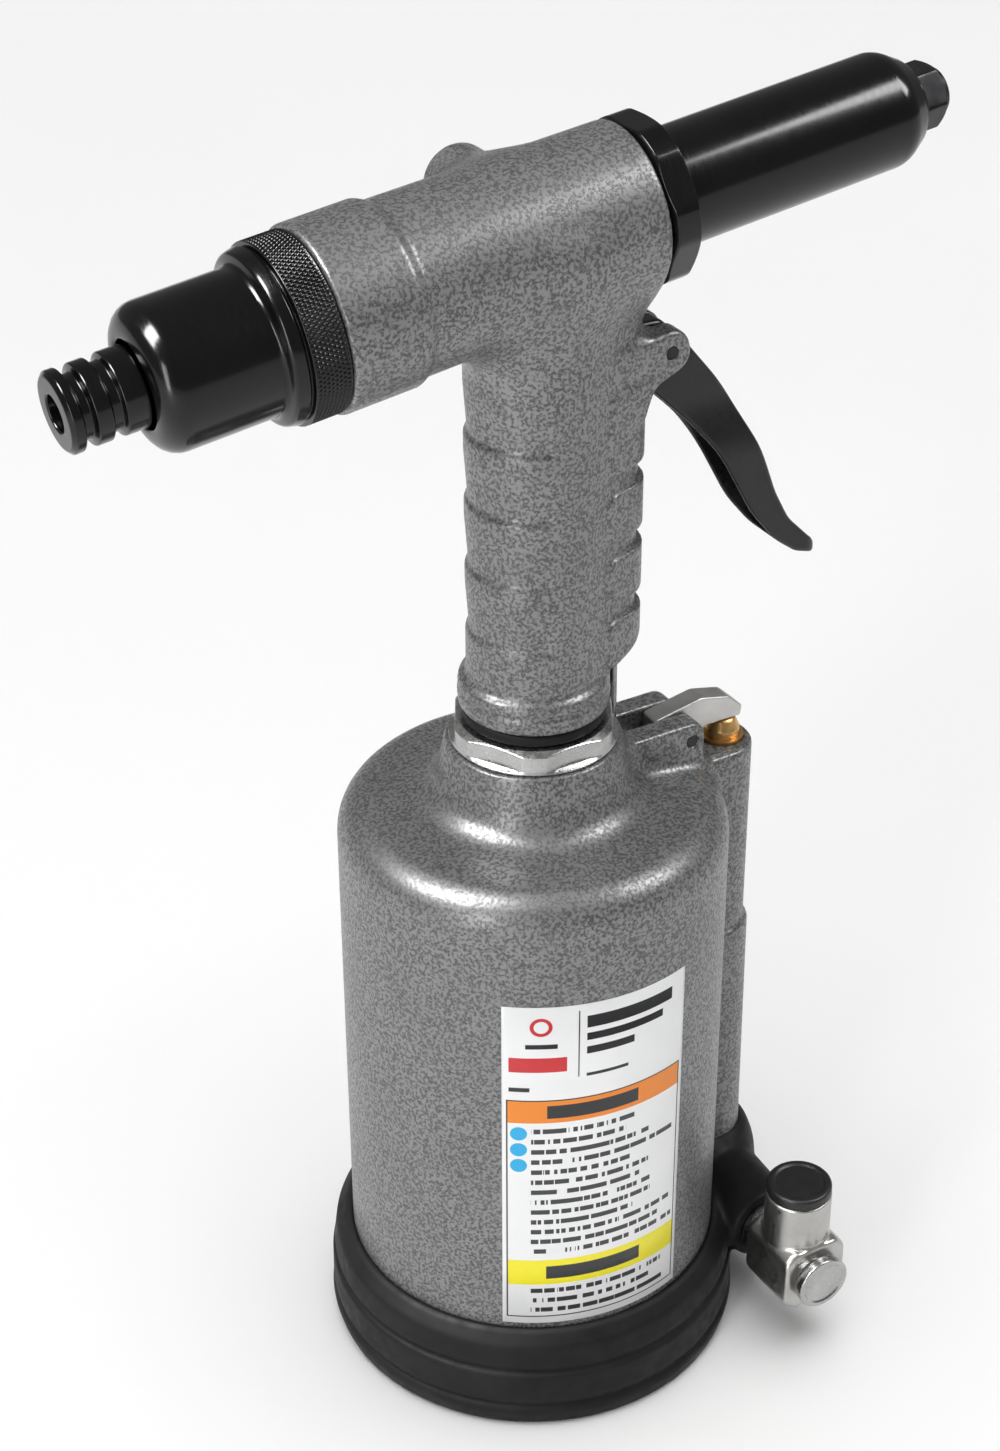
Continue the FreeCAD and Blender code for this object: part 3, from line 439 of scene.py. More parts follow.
def base_field(x, y, z):
    """Rubber base with soft ribs, the wrap round the column's foot and the sleeve of the inlet."""
    body = upright_distance([
        (0, 0), (0, 50.9, 1.2), (4.0, 52.0, 2), (5.6, 51.8, 0.6), (6.5, 50.8, 0.5), (7.8, 51.7, 0.6),
        (16.2, 51.6, 0.6), (17.2, 50.3, 0.5), (18.8, 51.1, 0.6), (24.6, 50.4, 3), (BASE_TOP, 47.4, 2.2),
        (BASE_TOP, 0)], x, y, z)
    wrap_radius = 16.0 - 4.0 * np.clip((z - 22) / 14, 0, 1) ** 2
    wrap = meet(column_distance(x, y, wrap_radius), slab(z, 8.6, 35.5), 2.5)
    body = join(body, wrap, 3.0)
    from_inlet = np.hypot(x - INLET.x, z - INLET.z)
    sleeve = meet(from_inlet - (11.6 + np.minimum(y, 0) * 0.05), slab(y, -33.0, 0), 0.8)
    body = join(body, sleeve, 2.0)
    bore = np.maximum(from_inlet - 7.0, y + 24)
    body = carve(body, bore, 0.4)
    inside = np.maximum(np.minimum(np.hypot(x, y) - CYLINDER_RADIUS, column_distance(x, y, 10.7)), 9.9 - z)
    return carve(body, inside, 0.4)


def trigger_field(x, y, z):
    """Folded sheet lever: a channel open towards the grip, wider where the fingers press."""
    front = [(30.2, 266.8, 3), (36.2, 261.2, 12), (47.4, 247.4, 60), (56.8, 230.4, 60), (61.2, 218.6, 30),
             (65.4, 210.6, 15)]
    tip = [(71.0, 204.8, 10), (75.2, 200.8, 1.0), (73.6, 199.4, 1.0), (67.8, 201.2, 8)]
    rear = [(61.8, 205.8, 20), (54.6, 214.6, 40), (45.4, 231.6, 60), (38.0, 240.8, 60), (28.6, 250.0, 3),
            (25.6, 256.5, 3)]
    side = outline_distance([(19.4, 265.2, 1.0), (24, 267.0, 2)] + front + tip + rear, x, z)
    half_width = 2.85 + 3.15 * smooth_step(np.clip((246 - z) / 16, 0, 1))
    outer = meet(side, np.abs(y) - half_width, 1.1)
    rounded_end = np.hypot(np.maximum(x - 67.5, 0), y) - 7.5
    outer = meet(outer, rounded_end, 0.8)
    sheet_inside = [(u - 1.1, v - 0.5, radius) for u, v, radius in front]
    depth = outline_distance([(10, 263.6)] + sheet_inside + [(66.0, 207.0), (45, 195), (10, 240)], x, z)
    inner = meet(depth, np.abs(y) - (half_width - 1.2), 0.8)
    body = carve(outer, inner, 0.3)
    rod_gap = np.maximum(np.abs(y) - 1.2, slab(x, 16, 24.5))
    body = carve(body, rod_gap, 0.2)
    return carve(body, cross_hole(x, y, z, TRIGGER_PIVOT, 1.45), 0.15)


def swivel_field(x, y, z):
    """Inlet block, rounded about its bolt, with the upright tube."""
    dx, dy, dz = x - INLET.x, y - INLET.y, z - INLET.z
    block = meet(np.maximum(np.abs(dx), np.abs(dz)) - 8.9, np.hypot(dx, dz) - 10.9, 0.6)
    block = meet(block, np.abs(dy) - 9.0, 0.9)
    corner = np.hypot(np.hypot(dx, dz), dy) - 13.5
    block = meet(block, corner, 0.4)
    tube = meet(np.hypot(dx, dy) - 8.35, slab(dz, 0, 21.4), 0.5)
    body = join(block, tube, 0.8)
    mouth = np.maximum(np.hypot(dx, dy) - 6.9, 16 - dz)
    body = carve(body, mouth, 0.3)
    thread = np.maximum(np.hypot(dx, dy) - 5.9, 6 - dz)
    bolt = np.maximum(np.hypot(dx, dz) - 5.1, np.abs(dy) - 30)
    return carve(carve(body, thread, 0.3), bolt, 0.3)


def rocker_field(x, y, z):
    """Plated lever with pressed edges, a slot for the pull rod and its pin hole."""
    side = outline_distance([
        (19.2, 159.6), (31.6, 159.6, 1.5), (31.6, 164.4, 1.2), (45.0, 166.8, 5), (53.0, 164.8, 3),
        (56.8, 161.2, 1), (56.4, 158.6, 0.5), (46.5, 158.6, 1), (43.0, 156.4, 1.5), (34, 156.4),
        (31, 158.0), (19.2, 158.0)], x, z)
    body = meet(side, np.abs(y) - 2.8, 0.45)
    rod_slot = np.maximum(np.abs(y) - 1.3, x - 23.5)
    body = carve(body, rod_slot, 0.15)
    return carve(body, cross_hole(x, y, z, ROCKER_PIVOT, 1.55), 0.15)


# ---- turned profiles, (station or height, radius, corner) ----------------------------------------
AXIS = 0.02
KNURL_FROM = -61.4
KNURL_TO = -53.8
KNURL_RADIUS = 19.3
KNURL_DEPTH = 0.4
KNURL_COUNT = 108

REAR_CAP = [
    (-91.6, 9.3, 0.6), (-91.6, 15.6, 5.4), (-66.0, 15.6, 1.4), (-65.2, 18.0, 1.3), (-62.6, 18.7, 0.5),
    (-62.2, 18.0, 0.15), (-61.8, 18.0, 0.15), (-61.6, KNURL_RADIUS, 0.3), (-53.5, KNURL_RADIUS, 0.3),
    (-53.3, 16.2, 0.2), (-85.5, 12.5, 0.5), (-85.5, 9.3, 0.3)]
MANDREL_OUTLET = [
    (-108.5, 4.0, 0.5), (-108.5, 7.6, 0.7), (-107.6, 8.6, 0.5), (-105.7, 8.6, 0.5), (-105.2, 6.8, 0.4),
    (-103.3, 6.8, 0.4), (-102.9, 8.5, 0.5), (-99.6, 8.5, 0.5), (-99.2, 7.2, 0.3), (-97.2, 7.2, 0.3),
    (-96.8, 8.6, 0.5), (-91.9, 8.6, 0.4), (-91.0, 7.0, 0.3), (-80.0, 7.0, 0.3), (-80.0, 3.4, 0.3),
    (-104.0, 3.4, 0.3)]
FRAME_HEAD = [
    (30.0, 12.2, 0.2), (30.0, 12.9, 0.3), (89.0, 12.9, 7), (94.0, 9.9, 1.2), (94.3, 9.0, 0.2),
    (95.0, 8.9, 0.4), (95.0, 6.3, 0.3), (86.0, 6.3), (86.0, 11.2), (32.0, 11.2)]
NOSE_TIP = [
    (87.0, 1.7, 0.2), (87.0, 6.1, 0.5), (95.1, 6.1, 0.1), (95.1, 7.0, 0.2), (95.6, 7.7, 0.2),
    (100.9, 7.7, 0.2), (101.5, 6.9, 0.3), (101.7, 5.7, 0.2), (103.4, 5.3, 0.6), (104.0, 3.6, 0.4),
    (104.0, 1.7, 0.3)]


def knurl_shape(station, radius, angles):
    """Diamond knurl: two families of grooves crossing at 60 degrees."""
    if radius < KNURL_RADIUS - 0.02 or not KNURL_FROM <= station <= KNURL_TO:
        return np.full(len(angles), radius)
    turns = angles / (2 * math.pi) * KNURL_COUNT
    lead = station / (2 * math.pi * KNURL_RADIUS / KNURL_COUNT) * 0.62
    first = np.abs((turns + lead) % 1 - 0.5) * 2
    second = np.abs((turns - lead) % 1 - 0.5) * 2
    height = np.minimum(1 - first, 1 - second)
    return radius - KNURL_DEPTH + KNURL_DEPTH * np.minimum(height * 1.5, 1.0)


def valve_profile():
    """Brass stem with its domed button, from the seat up to the rocker."""
    low, high = node_box("valve_stem")
    return [
        (low.z, AXIS), (low.z, 2.5, 0.3), (118, 2.5), (118, 3.6), (121, 3.6), (122, 2.0), (146, 2.0),
        (146, 4.25, 0.3), (155.4, 4.25, 0.5), (high.z, 2.9, 1.4), (high.z, AXIS)]


def plug_profile():
    """Push-in dust plug, with a dished top and a soft rim."""
    low, high = node_box("dust_plug")
    shoulder = node_box("swivel_body")[1].z + 0.05
    return [
        (low.z, AXIS), (low.z, 6.8, 0.4), (shoulder, 6.8), (shoulder, 8.25, 0.3), (high.z, 8.15, 0.9),
        (high.z, 6.6, 0.4), (high.z - 0.4, 6.0, 0.4), (high.z - 0.4, AXIS)]


def bolt_profile():
    """Banjo bolt from its threaded end out to the round head, with a turned recess in its face."""
    start = -node_box("banjo_bolt")[1].y
    face = -node_box("banjo_bolt")[0].y
    return [
        (start, 2.8, 0.2), (start, 5.0, 0.4), (56.2, 5.0), (56.2, 7.0, 0.5), (face - 0.1, 7.2, 0.5),
        (face - 0.1, 5.9, 0.3), (face - 0.5, 5.4, 0.2), (face - 0.5, AXIS), (48, AXIS), (47.2, 2.8, 0.2)]


# ---- node helper -------------------------------------------------------------------------------
class Shader:
    """A procedural material and short ways to add its nodes."""

    def __init__(self, name):
        self.material = bpy.data.materials.new(name)
        self.material.use_nodes = True
        self.nodes = self.material.node_tree.nodes
        self.links = self.material.node_tree.links
        self.surface = self.nodes["Principled BSDF"]
        self.place = self.nodes.new("ShaderNodeTexCoord").outputs["Object"]

    def set(self, **values):
        """Sets constant inputs on the surface shader."""
        for key, value in values.items():
            self.surface.inputs[key.replace("_", " ")].default_value = value

    def link(self, output, socket):
        """Drives one input of the surface shader."""
        self.links.new(output, self.surface.inputs[socket])

    def feed(self, socket, value):
        """Gives an input either a link or a constant."""
        if isinstance(value, bpy.types.NodeSocket):
            self.links.new(value, socket)
        else:
            socket.default_value = value

    def math(self, operation, a, b=0.0, c=0.0):
        """A math node."""
        node = self.nodes.new("ShaderNodeMath")
        node.operation = operation
        for socket, value in zip(node.inputs, (a, b, c)):
            self.feed(socket, value)
        return node.outputs[0]

    def noise(self, scale, detail=3.0, roughness=0.5, place=None):
        """Noise over the piece, with its scale per metre."""
        node = self.nodes.new("ShaderNodeTexNoise")
        node.inputs["Scale"].default_value = scale
        node.inputs["Detail"].default_value = detail
        node.inputs["Roughness"].default_value = roughness
        self.links.new(place or self.place, node.inputs["Vector"])
        return node.outputs["Fac"]

    def stretch(self, scale):
        """The place coordinates scaled along each axis."""
        node = self.nodes.new("ShaderNodeMapping")
        node.inputs["Scale"].default_value = scale
        self.links.new(self.place, node.inputs["Vector"])
        return node.outputs[0]

    def ramp(self, value, low, high, start=0.0, end=1.0):
        """A value mapped from one range to another, clamped."""
        node = self.nodes.new("ShaderNodeMapRange")
        for socket, number in zip(node.inputs[1:5], (low, high, start, end)):
            socket.default_value = number
        self.feed(node.inputs[0], value)
        return node.outputs[0]

    def mix(self, share, a, b):
        """A colour between two colours."""
        node = self.nodes.new("ShaderNodeMix")
        node.data_type = "RGBA"
        self.feed(node.inputs["Factor"], share)
        for socket, value in ((node.inputs[6], a), (node.inputs[7], b)):
            self.feed(socket, value if isinstance(value, bpy.types.NodeSocket) else (*value, 1.0))
        return node.outputs[2]

    def bump(self, height, distance, strength=1.0):
        """Fine relief on the surface, its depth in metres."""
        node = self.nodes.new("ShaderNodeBump")
        node.inputs["Strength"].default_value = strength
        node.inputs["Distance"].default_value = distance
        self.links.new(height, node.inputs["Height"])
        self.link(node.outputs[0], "Normal")

    def warped(self, scale, amount):
        """The place coordinates pushed about by noise."""
        node = self.nodes.new("ShaderNodeTexNoise")
        node.inputs["Scale"].default_value = scale
        node.inputs["Detail"].default_value = 2.0
        self.links.new(self.place, node.inputs["Vector"])
        push = self.nodes.new("ShaderNodeVectorMath")
        push.operation = "MULTIPLY_ADD"
        push.inputs[1].default_value = (amount, amount, amount)
        self.links.new(node.outputs["Color"], push.inputs[0])
        self.links.new(self.place, push.inputs[2])
        return push.outputs[0]


# ---- materials ---------------------------------------------------------------------------------
def hammertone():
    """Hammered enamel: mid grey with a fine network of dark worms between small glossy domes."""
    shader = Shader("hammertone")
    place = shader.warped(1700.0, 0.0003)
    wave = shader.noise(1250.0, 1.0, 0.4, place)
    small = shader.noise(2300.0, 1.0, 0.5, place)
    worms = shader.ramp(wave, 0.44, 0.56)
    worms = shader.math("MAXIMUM", worms, shader.ramp(small, 0.5, 0.62, 0.0, 0.7))
    cloud = shader.ramp(shader.noise(60.0, 2.0, 0.5), 0.3, 0.7, 0.86, 1.08)
    tone = shader.math("MULTIPLY", worms, cloud)
    colour = shader.mix(tone, (0.045, 0.045, 0.047), (0.205, 0.206, 0.208))
    shader.link(colour, "Base Color")
    shader.link(shader.ramp(worms, 0.0, 1.0, 0.46, 0.34), "Roughness")
    shader.set(Metallic=0.1, Specular_IOR_Level=0.9)
    shader.bump(worms, 0.00002, 0.6)
    return shader.material


def rubber(name):
    """Matt moulded rubber with a fine skin and dust in it."""
    shader = Shader(name)
    dust = shader.ramp(shader.noise(90.0, 4.0), 0.4, 0.75)
    colour = shader.mix(dust, (0.005, 0.005, 0.0054), (0.011, 0.011, 0.0115))
    shader.link(colour, "Base Color")
    shader.link(shader.ramp(shader.noise(300.0, 3.0), 0.3, 0.7, 0.5, 0.66), "Roughness")
    shader.set(Specular_IOR_Level=0.2)
    shader.bump(shader.noise(2600.0, 3.0, 0.6), 0.00004, 0.5)
    return shader.material


def gloss_black():
    """Gloss black finish with faint turning marks."""
    shader = Shader("gloss_black")
    tone = shader.ramp(shader.noise(60.0, 3.0), 0.3, 0.7)
    shader.link(shader.mix(tone, (0.002, 0.002, 0.0021), (0.004, 0.004, 0.0043)), "Base Color")
    marks = shader.noise(900.0, 2.0, 0.5, shader.stretch((6.0, 0.3, 0.3)))
    shader.link(shader.ramp(marks, 0.3, 0.7, 0.13, 0.22), "Roughness")
    shader.set(Specular_IOR_Level=0.35)
    shader.bump(shader.noise(500.0, 2.0), 0.00001, 0.25)
    return shader.material


def satin_black():
    """Satin black coating with a fine orange peel."""
    shader = Shader("satin_black")
    tone = shader.ramp(shader.noise(120.0, 3.0), 0.3, 0.7)
    shader.link(shader.mix(tone, (0.003, 0.003, 0.0033), (0.008, 0.008, 0.0084)), "Base Color")
    shader.link(shader.ramp(shader.noise(700.0, 3.0), 0.3, 0.7, 0.26, 0.38), "Roughness")
    shader.set(Specular_IOR_Level=0.4)
    shader.bump(shader.noise(1600.0, 2.0), 0.00004, 0.35)
    return shader.material


def metal(name, colour, dark, rough, grain_scale, stretch=(1.0, 1.0, 1.0), bump=0.00001):
    """Bare or plated metal with tone and roughness that vary a little."""
    shader = Shader(name)
    tone = shader.ramp(shader.noise(160.0, 4.0), 0.3, 0.75)
    shader.link(shader.mix(tone, colour, dark), "Base Color")
    grain = shader.noise(grain_scale, 3.0, 0.6, shader.stretch(stretch))
    shader.link(shader.ramp(grain, 0.3, 0.7, rough * 0.8, rough * 1.25), "Roughness")
    shader.set(Metallic=1.0)
    shader.bump(grain, bump, 0.4)
    return shader.material


def moulded_plastic():
    """Black plastic with a fine spark-eroded texture."""
    shader = Shader("black_plastic")
    tone = shader.ramp(shader.noise(200.0, 3.0), 0.3, 0.7)
    shader.link(shader.mix(tone, (0.006, 0.006, 0.006), (0.011, 0.011, 0.0115)), "Base Color")
    shader.link(shader.ramp(shader.noise(1200.0, 2.0), 0.3, 0.7, 0.36, 0.5), "Roughness")
    shader.bump(shader.noise(3000.0, 2.0), 0.00003, 0.4)
    return shader.material


MATERIALS = {
    "hammertone": hammertone(),
    "rubber": rubber("rubber"),
    "seal_rubber": rubber("seal_rubber"),
    "gloss_black": gloss_black(),
    "satin_black": satin_black(),
    "black_steel": metal("black_steel", (0.05, 0.05, 0.052), (0.022, 0.022, 0.023), 0.34, 600.0),
    "chrome": metal("chrome", (0.46, 0.46, 0.455), (0.38, 0.38, 0.375), 0.27, 500.0),
    "satin_nickel": metal("satin_nickel", (0.5, 0.495, 0.48), (0.42, 0.415, 0.4), 0.34, 900.0),
    "plated_steel": metal("plated_steel", (0.56, 0.555, 0.54), (0.48, 0.475, 0.465), 0.42, 300.0),
    "polished_steel": metal("polished_steel", (0.55, 0.55, 0.56), (0.46, 0.46, 0.47), 0.18, 700.0),
    "spring_steel": metal("spring_steel", (0.34, 0.34, 0.35), (0.22, 0.22, 0.23), 0.3, 700.0),
    "machined_aluminium": metal("machined_aluminium", (0.7, 0.7, 0.7), (0.6, 0.6, 0.61), 0.3, 700.0),
    "brass": metal("brass", (0.72, 0.45, 0.19), (0.6, 0.36, 0.14), 0.36, 500.0),
    "bronze": metal("bronze", (0.4, 0.25, 0.11), (0.25, 0.15, 0.07), 0.45, 2500.0, bump=0.00006),
    "copper_washer": metal("copper_washer", (0.6, 0.3, 0.18), (0.45, 0.22, 0.13), 0.3, 700.0),
    "black_plastic": moulded_plastic(),
}


# ---- label -------------------------------------------------------------------------------------
LABEL_LOW, LABEL_HIGH = node_box("label")
LABEL_MIDDLE = math.radians(-100.8)
LABEL_HALF_WIDTH = 23.3
LABEL_HALF = LABEL_HALF_WIDTH / CYLINDER_RADIUS
LABEL_INNER = CYLINDER_RADIUS + 0.03
LABEL_OUTER = CYLINDER_RADIUS + 0.2


def label_piece():
    """Thin sticker wrapped on the cylinder, with coordinates in millimetres from its lower left corner."""
    columns, rows = 64, 4
    points = []
    for radius in (LABEL_OUTER, LABEL_INNER):
        for j in range(rows + 1):
            height = LABEL_LOW.z + (LABEL_HIGH.z - LABEL_LOW.z) * j / rows
            for i in range(columns + 1):
                angle = LABEL_MIDDLE + LABEL_HALF * (2 * i / columns - 1)
                points.append((radius * math.cos(angle), radius * math.sin(angle), height))
    layer = (columns + 1) * (rows + 1)
    faces = []
    for j in range(rows):
        for i in range(columns):
            a = j * (columns + 1) + i
            quad = (a, a + 1, a + columns + 2, a + columns + 1)
            faces.append(quad)
            faces.append(tuple(layer + corner for corner in reversed(quad)))
    rim = list(range(columns))
    rim += [columns + j * (columns + 1) for j in range(rows)]
    rim += [rows * (columns + 1) + columns - i for i in range(columns)]
    rim += [(rows - j) * (columns + 1) for j in range(rows)]
    for k in range(len(rim)):
        a, b = rim[k], rim[(k + 1) % len(rim)]
        faces.append((b, a, layer + a, layer + b))
    piece = mesh_piece("data_label", points, faces)
    sheet = piece.data.uv_layers.new(name="print")
    for loop in piece.data.loops:
        spot = piece.data.vertices[loop.vertex_index].co / MM
        angle = math.atan2(spot.y, spot.x) - LABEL_MIDDLE
        sheet.data[loop.index].uv = (angle * CYLINDER_RADIUS + LABEL_HALF_WIDTH, spot.z - LABEL_LOW.z)
    return piece


def printed_label():
    """White vinyl with two coloured bands, blue dots, a red ring and bars in place of lines of print."""
    shader = Shader("label_vinyl")
    split = shader.nodes.new("ShaderNodeSeparateXYZ")
    spot = shader.nodes.new("ShaderNodeUVMap")
    spot.uv_map = "print"
    shader.links.new(spot.outputs[0], split.inputs[0])
    across, up = split.outputs[0], split.outputs[1]

    def between(value, low, high):
        """Mask of the values between two limits."""
        above = shader.math("GREATER_THAN", value, low)
        return shader.math("MULTIPLY", above, shader.math("LESS_THAN", value, high))

    def block(left, right, low, high):
        """Mask of a rectangle."""
        return shader.math("MULTIPLY", between(across, left, right), between(up, low, high))

    def either(*masks):
        """Union of masks."""
        result = masks[0]
        for mask in masks[1:]:
            result = shader.math("MAXIMUM", result, mask)
        return result

    def words(left, right, low, high, pitch, height, seed):
        """Rows of short bars with uneven gaps."""
        row = shader.math("DIVIDE", shader.math("SUBTRACT", up, low), pitch)
        number = shader.math("FLOOR", row)
        in_row = between(shader.math("FRACT", row), 0.25, 0.25 + height / pitch)
        place = shader.nodes.new("ShaderNodeCombineXYZ")
        shader.links.new(shader.math("MULTIPLY", across, 0.75), place.inputs[0])
        shader.links.new(shader.math("ADD", shader.math("MULTIPLY", number, 7.31), seed), place.inputs[1])
        gaps = shader.nodes.new("ShaderNodeTexNoise")
        gaps.inputs["Scale"].default_value = 1.0
        gaps.inputs["Detail"].default_value = 1.0
        shader.links.new(place.outputs[0], gaps.inputs["Vector"])
        mark = shader.math("LESS_THAN", gaps.outputs["Fac"], 0.57)
        wave = shader.math("SINE", shader.math("MULTIPLY", number, 12.9))
        end = shader.math("FRACT", shader.math("MULTIPLY", wave, 43.7))
        reach = shader.math("MULTIPLY_ADD", end, (left - right) * 0.4, right)
        short = shader.math("LESS_THAN", across, reach)
        rows = shader.math("MULTIPLY", shader.math("MULTIPLY", mark, in_row), short)
        return shader.math("MULTIPLY", rows, block(left, right, low, high))

    orange = block(1.2, 45.4, 63.0, 69.6)
    yellow = block(1.2, 45.4, 12.6, 20.4)
    frame_line = shader.math("SUBTRACT", block(1.0, 45.6, 2.0, 69.8), block(1.35, 45.25, 2.35, 69.45))
    band_bars = either(block(10.5, 33.0, 64.3, 68.1), block(10.5, 34.5, 14.4, 18.4))
    title = either(
        block(19.6, 42.3, 89.8, 93.2), block(19.6, 39.5, 86.2, 88.3), block(19.6, 31.5, 82.3, 84.4),
        block(19.6, 30.0, 75.8, 76.7), block(5.4, 12.8, 84.8, 86.1), block(1.6, 6.4, 72.3, 73.5))
    rule = block(17.6, 17.9, 76.0, 95.0)
    print_rows = either(
        words(6.8, 44.5, 21.8, 61.8, 3.1, 1.4, 1.7), words(6.8, 42.0, 2.9, 12.0, 3.1, 1.4, 5.1))

    def dot(x, y, radius):
        """Mask of a disc."""
        dx = shader.math("SUBTRACT", across, x)
        dy = shader.math("SUBTRACT", up, y)
        square = shader.math("ADD", shader.math("MULTIPLY", dx, dx), shader.math("MULTIPLY", dy, dy))
        return shader.math("LESS_THAN", square, radius * radius)

    blue = either(dot(3.9, 59.8, 2.0), dot(3.9, 55.0, 2.0), dot(3.9, 50.2, 2.0))
    emblem = shader.math("SUBTRACT", dot(9.0, 91.0, 2.6), dot(9.0, 91.0, 1.7))
    red = either(emblem, block(1.6, 15.0, 78.0, 82.2))

    paper = shader.mix(shader.ramp(shader.noise(70.0, 3.0), 0.3, 0.7), (0.84, 0.845, 0.85), (0.9, 0.9, 0.905))
    colour = shader.mix(orange, paper, (0.85, 0.25, 0.02))
    colour = shader.mix(yellow, colour, (0.92, 0.82, 0.015))
    colour = shader.mix(blue, colour, (0.02, 0.42, 0.78))
    colour = shader.mix(red, colour, (0.6, 0.03, 0.035))
    colour = shader.mix(either(band_bars, title, rule, frame_line), colour, (0.02, 0.02, 0.022))
    colour = shader.mix(print_rows, colour, (0.04, 0.04, 0.042))
    shader.link(colour, "Base Color")
    shader.link(shader.ramp(shader.noise(400.0, 2.0), 0.3, 0.7, 0.3, 0.4), "Roughness")
    shader.bump(shader.noise(120.0, 2.0), 0.00002, 0.3)
    return shader.material


MATERIALS["label_vinyl"] = printed_label()


# ---- assembly ----------------------------------------------------------------------------------
SLOT_OF = {part["node"]: part["material_slot"] for part in RECORD["subparts"]}
BODY_OF = {node: body for body, nodes in RECORD["behaviour"]["bodies"].items() for node in nodes}


def stand_for(piece, node):
    """Lets a piece take the place, the body and the material of a CAD node."""
    piece.data.materials.append(MATERIALS[SLOT_OF[node]])
    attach(piece, BODY_OF[node])
    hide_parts(node)
    return piece


def add_castings():
    """The pieces made from distance fields."""
    low, high = node_box("gun_body")
    pad = Vector((1.5, 1.5, 1.5))
    stand_for(field_piece("body_casting", gun_body_field, low - pad, high + pad, 0.5), "gun_body")
    low, high = node_box("air_cylinder")
    low.z = 24.0
    stand_for(field_piece("cylinder_casting", cylinder_field, low - pad, high + pad, 0.7), "air_cylinder")
    low, high = node_box("base_boot")
    stand_for(field_piece("rubber_base", base_field, low - pad, high + pad, 0.6), "base_boot")
    low, high = node_box("trigger")
    stand_for(field_piece("trigger_lever", trigger_field, low - pad, high + pad, 0.3), "trigger")
    low, high = node_box("swivel_body")
    stand_for(field_piece("inlet_block", swivel_field, low - pad, high + pad, 0.3), "swivel_body")


def add_barrel_pieces():
    """The turned pieces on the raked axis."""
    cap = turned_piece("tail_cap", REAR_CAP, BARREL_FRAME, KNURL_COUNT * 6, knurl_shape, {
        "above": KNURL_RADIUS - 0.1, "from": KNURL_FROM, "to": KNURL_TO, "step": 0.13})
    stand_for(cap, "rear_cap")
    stand_for(turned_piece("outlet_spigot", MANDREL_OUTLET, BARREL_FRAME), "mandrel_outlet")
    stand_for(turned_piece("front_tube", FRAME_HEAD, BARREL_FRAME), "frame_head")
    blank = nut_profile(HEAD_FACE + 0.5, 29.95, 12.95, 18.4, 1.5)
    flats = hexagon_shape(35.0, 12.95, width=0.35)
    nut = turned_piece("front_nut", blank, BARREL_FRAME, 360, flats, {
        "above": 14, "from": 22, "to": 35, "step": 0.3})
    stand_for(nut, "head_lock_nut")
    tip = turned_piece("nose_tip", NOSE_TIP, BARREL_FRAME, 240, hexagon_shape(13.4, 6.1), {
        "above": 6.3, "from": 95, "to": 102, "step": 0.2})
    stand_for(tip, "nosepiece")


def add_neck_pieces():
    """The plated nut and the black ring under the grip."""
    profile = [
        (NUT_BOTTOM, 13.1, 0.3), (NUT_BOTTOM, 19.3, 0.25), (NUT_BOTTOM + 0.5, 19.55, 0.2),
        (NUT_BOTTOM + 1.1, 19.4, 0.1), (NUT_TOP - 0.9, 19.3, 0.2), (NUT_TOP, 17.6, 0.2), (NUT_TOP, 13.1, 0.3)]
    flats = hexagon_shape(36.0, 13.1, turn=math.pi / 6, start=NUT_BOTTOM + 1.05)
    nut = turned_piece("neck_nut", profile, UPRIGHT_FRAME, 360, flats, {
        "above": 14, "from": 0, "to": 300, "step": 0.25})
    stand_for(nut, "lock_nut")
    ring = [(NUT_TOP + 0.05, 13.2, 0.3), (NUT_TOP + 0.05, 16.7, 1.1), (GRIP_BOTTOM - 0.05, 16.7, 1.1),
            (GRIP_BOTTOM - 0.05, 13.2, 0.3)]
    stand_for(turned_piece("neck_ring", ring, UPRIGHT_FRAME), "neck_seal")


def add_small_pieces():
    """Rocker, valve button, dust plug and banjo bolt."""
    low, high = node_box("valve_rocker")
    pad = Vector((1, 1, 1))
    stand_for(field_piece("rocker_lever", rocker_field, low - pad, high + pad, 0.22), "valve_rocker")
    upright_at = Matrix.Translation((VALVE_X, 0, 0)) @ UPRIGHT_FRAME
    stand_for(turned_piece("valve_button", valve_profile(), upright_at, 96), "valve_stem")
    inlet_at = Matrix.Translation((INLET.x, INLET.y, 0)) @ UPRIGHT_FRAME
    stand_for(turned_piece("inlet_plug", plug_profile(), inlet_at, 96), "dust_plug")
    outwards = Matrix.Translation((INLET.x, 0, INLET.z)) @ Matrix.Rotation(math.radians(-90), 4, "Z")
    stand_for(turned_piece("inlet_bolt", bolt_profile(), outwards, 96), "banjo_bolt")


def add_spring(name, node):
    """A spring as a piece of its own, a copy of its CAD node's mesh on the same body."""
    coil = bpy.data.objects.new(name, frame["nodes"][node].data.copy())
    bpy.context.scene.collection.objects.link(coil)
    coil.data.materials.clear()
    stand_for(coil, node)
    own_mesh(coil)


def add_springs():
    """Return spring of the pull piston and spring of the valve."""
    add_spring("return_coil", "return_spring")
    add_spring("valve_coil", "valve_spring")


def add_label():
    """The sticker on the cylinder."""
    stand_for(label_piece(), "label")


def finish_frame_nodes():
    """Materials for the CAD nodes that show as they are."""
    for node, piece in frame["nodes"].items():
        piece.data.materials.clear()
        piece.data.materials.append(MATERIALS[SLOT_OF[node]])


# ---- stage -------------------------------------------------------------------------------------
CAMERA_AZIMUTH = -31.0
CAMERA_ELEVATION = 32.68
CAMERA_ROLL = 0.167
CAMERA_DISTANCE = 0.63806
CAMERA_TARGET = Vector((0, 0, 0.16324))
CAMERA_LENS = 68.43
CAMERA_SHIFT = (-0.0230, 0.0222)
FLOOR_HALF = 4000.0
FLOOR_HEIGHT = -0.2
LIGHT_TARGET = (0, 0, 0.17)


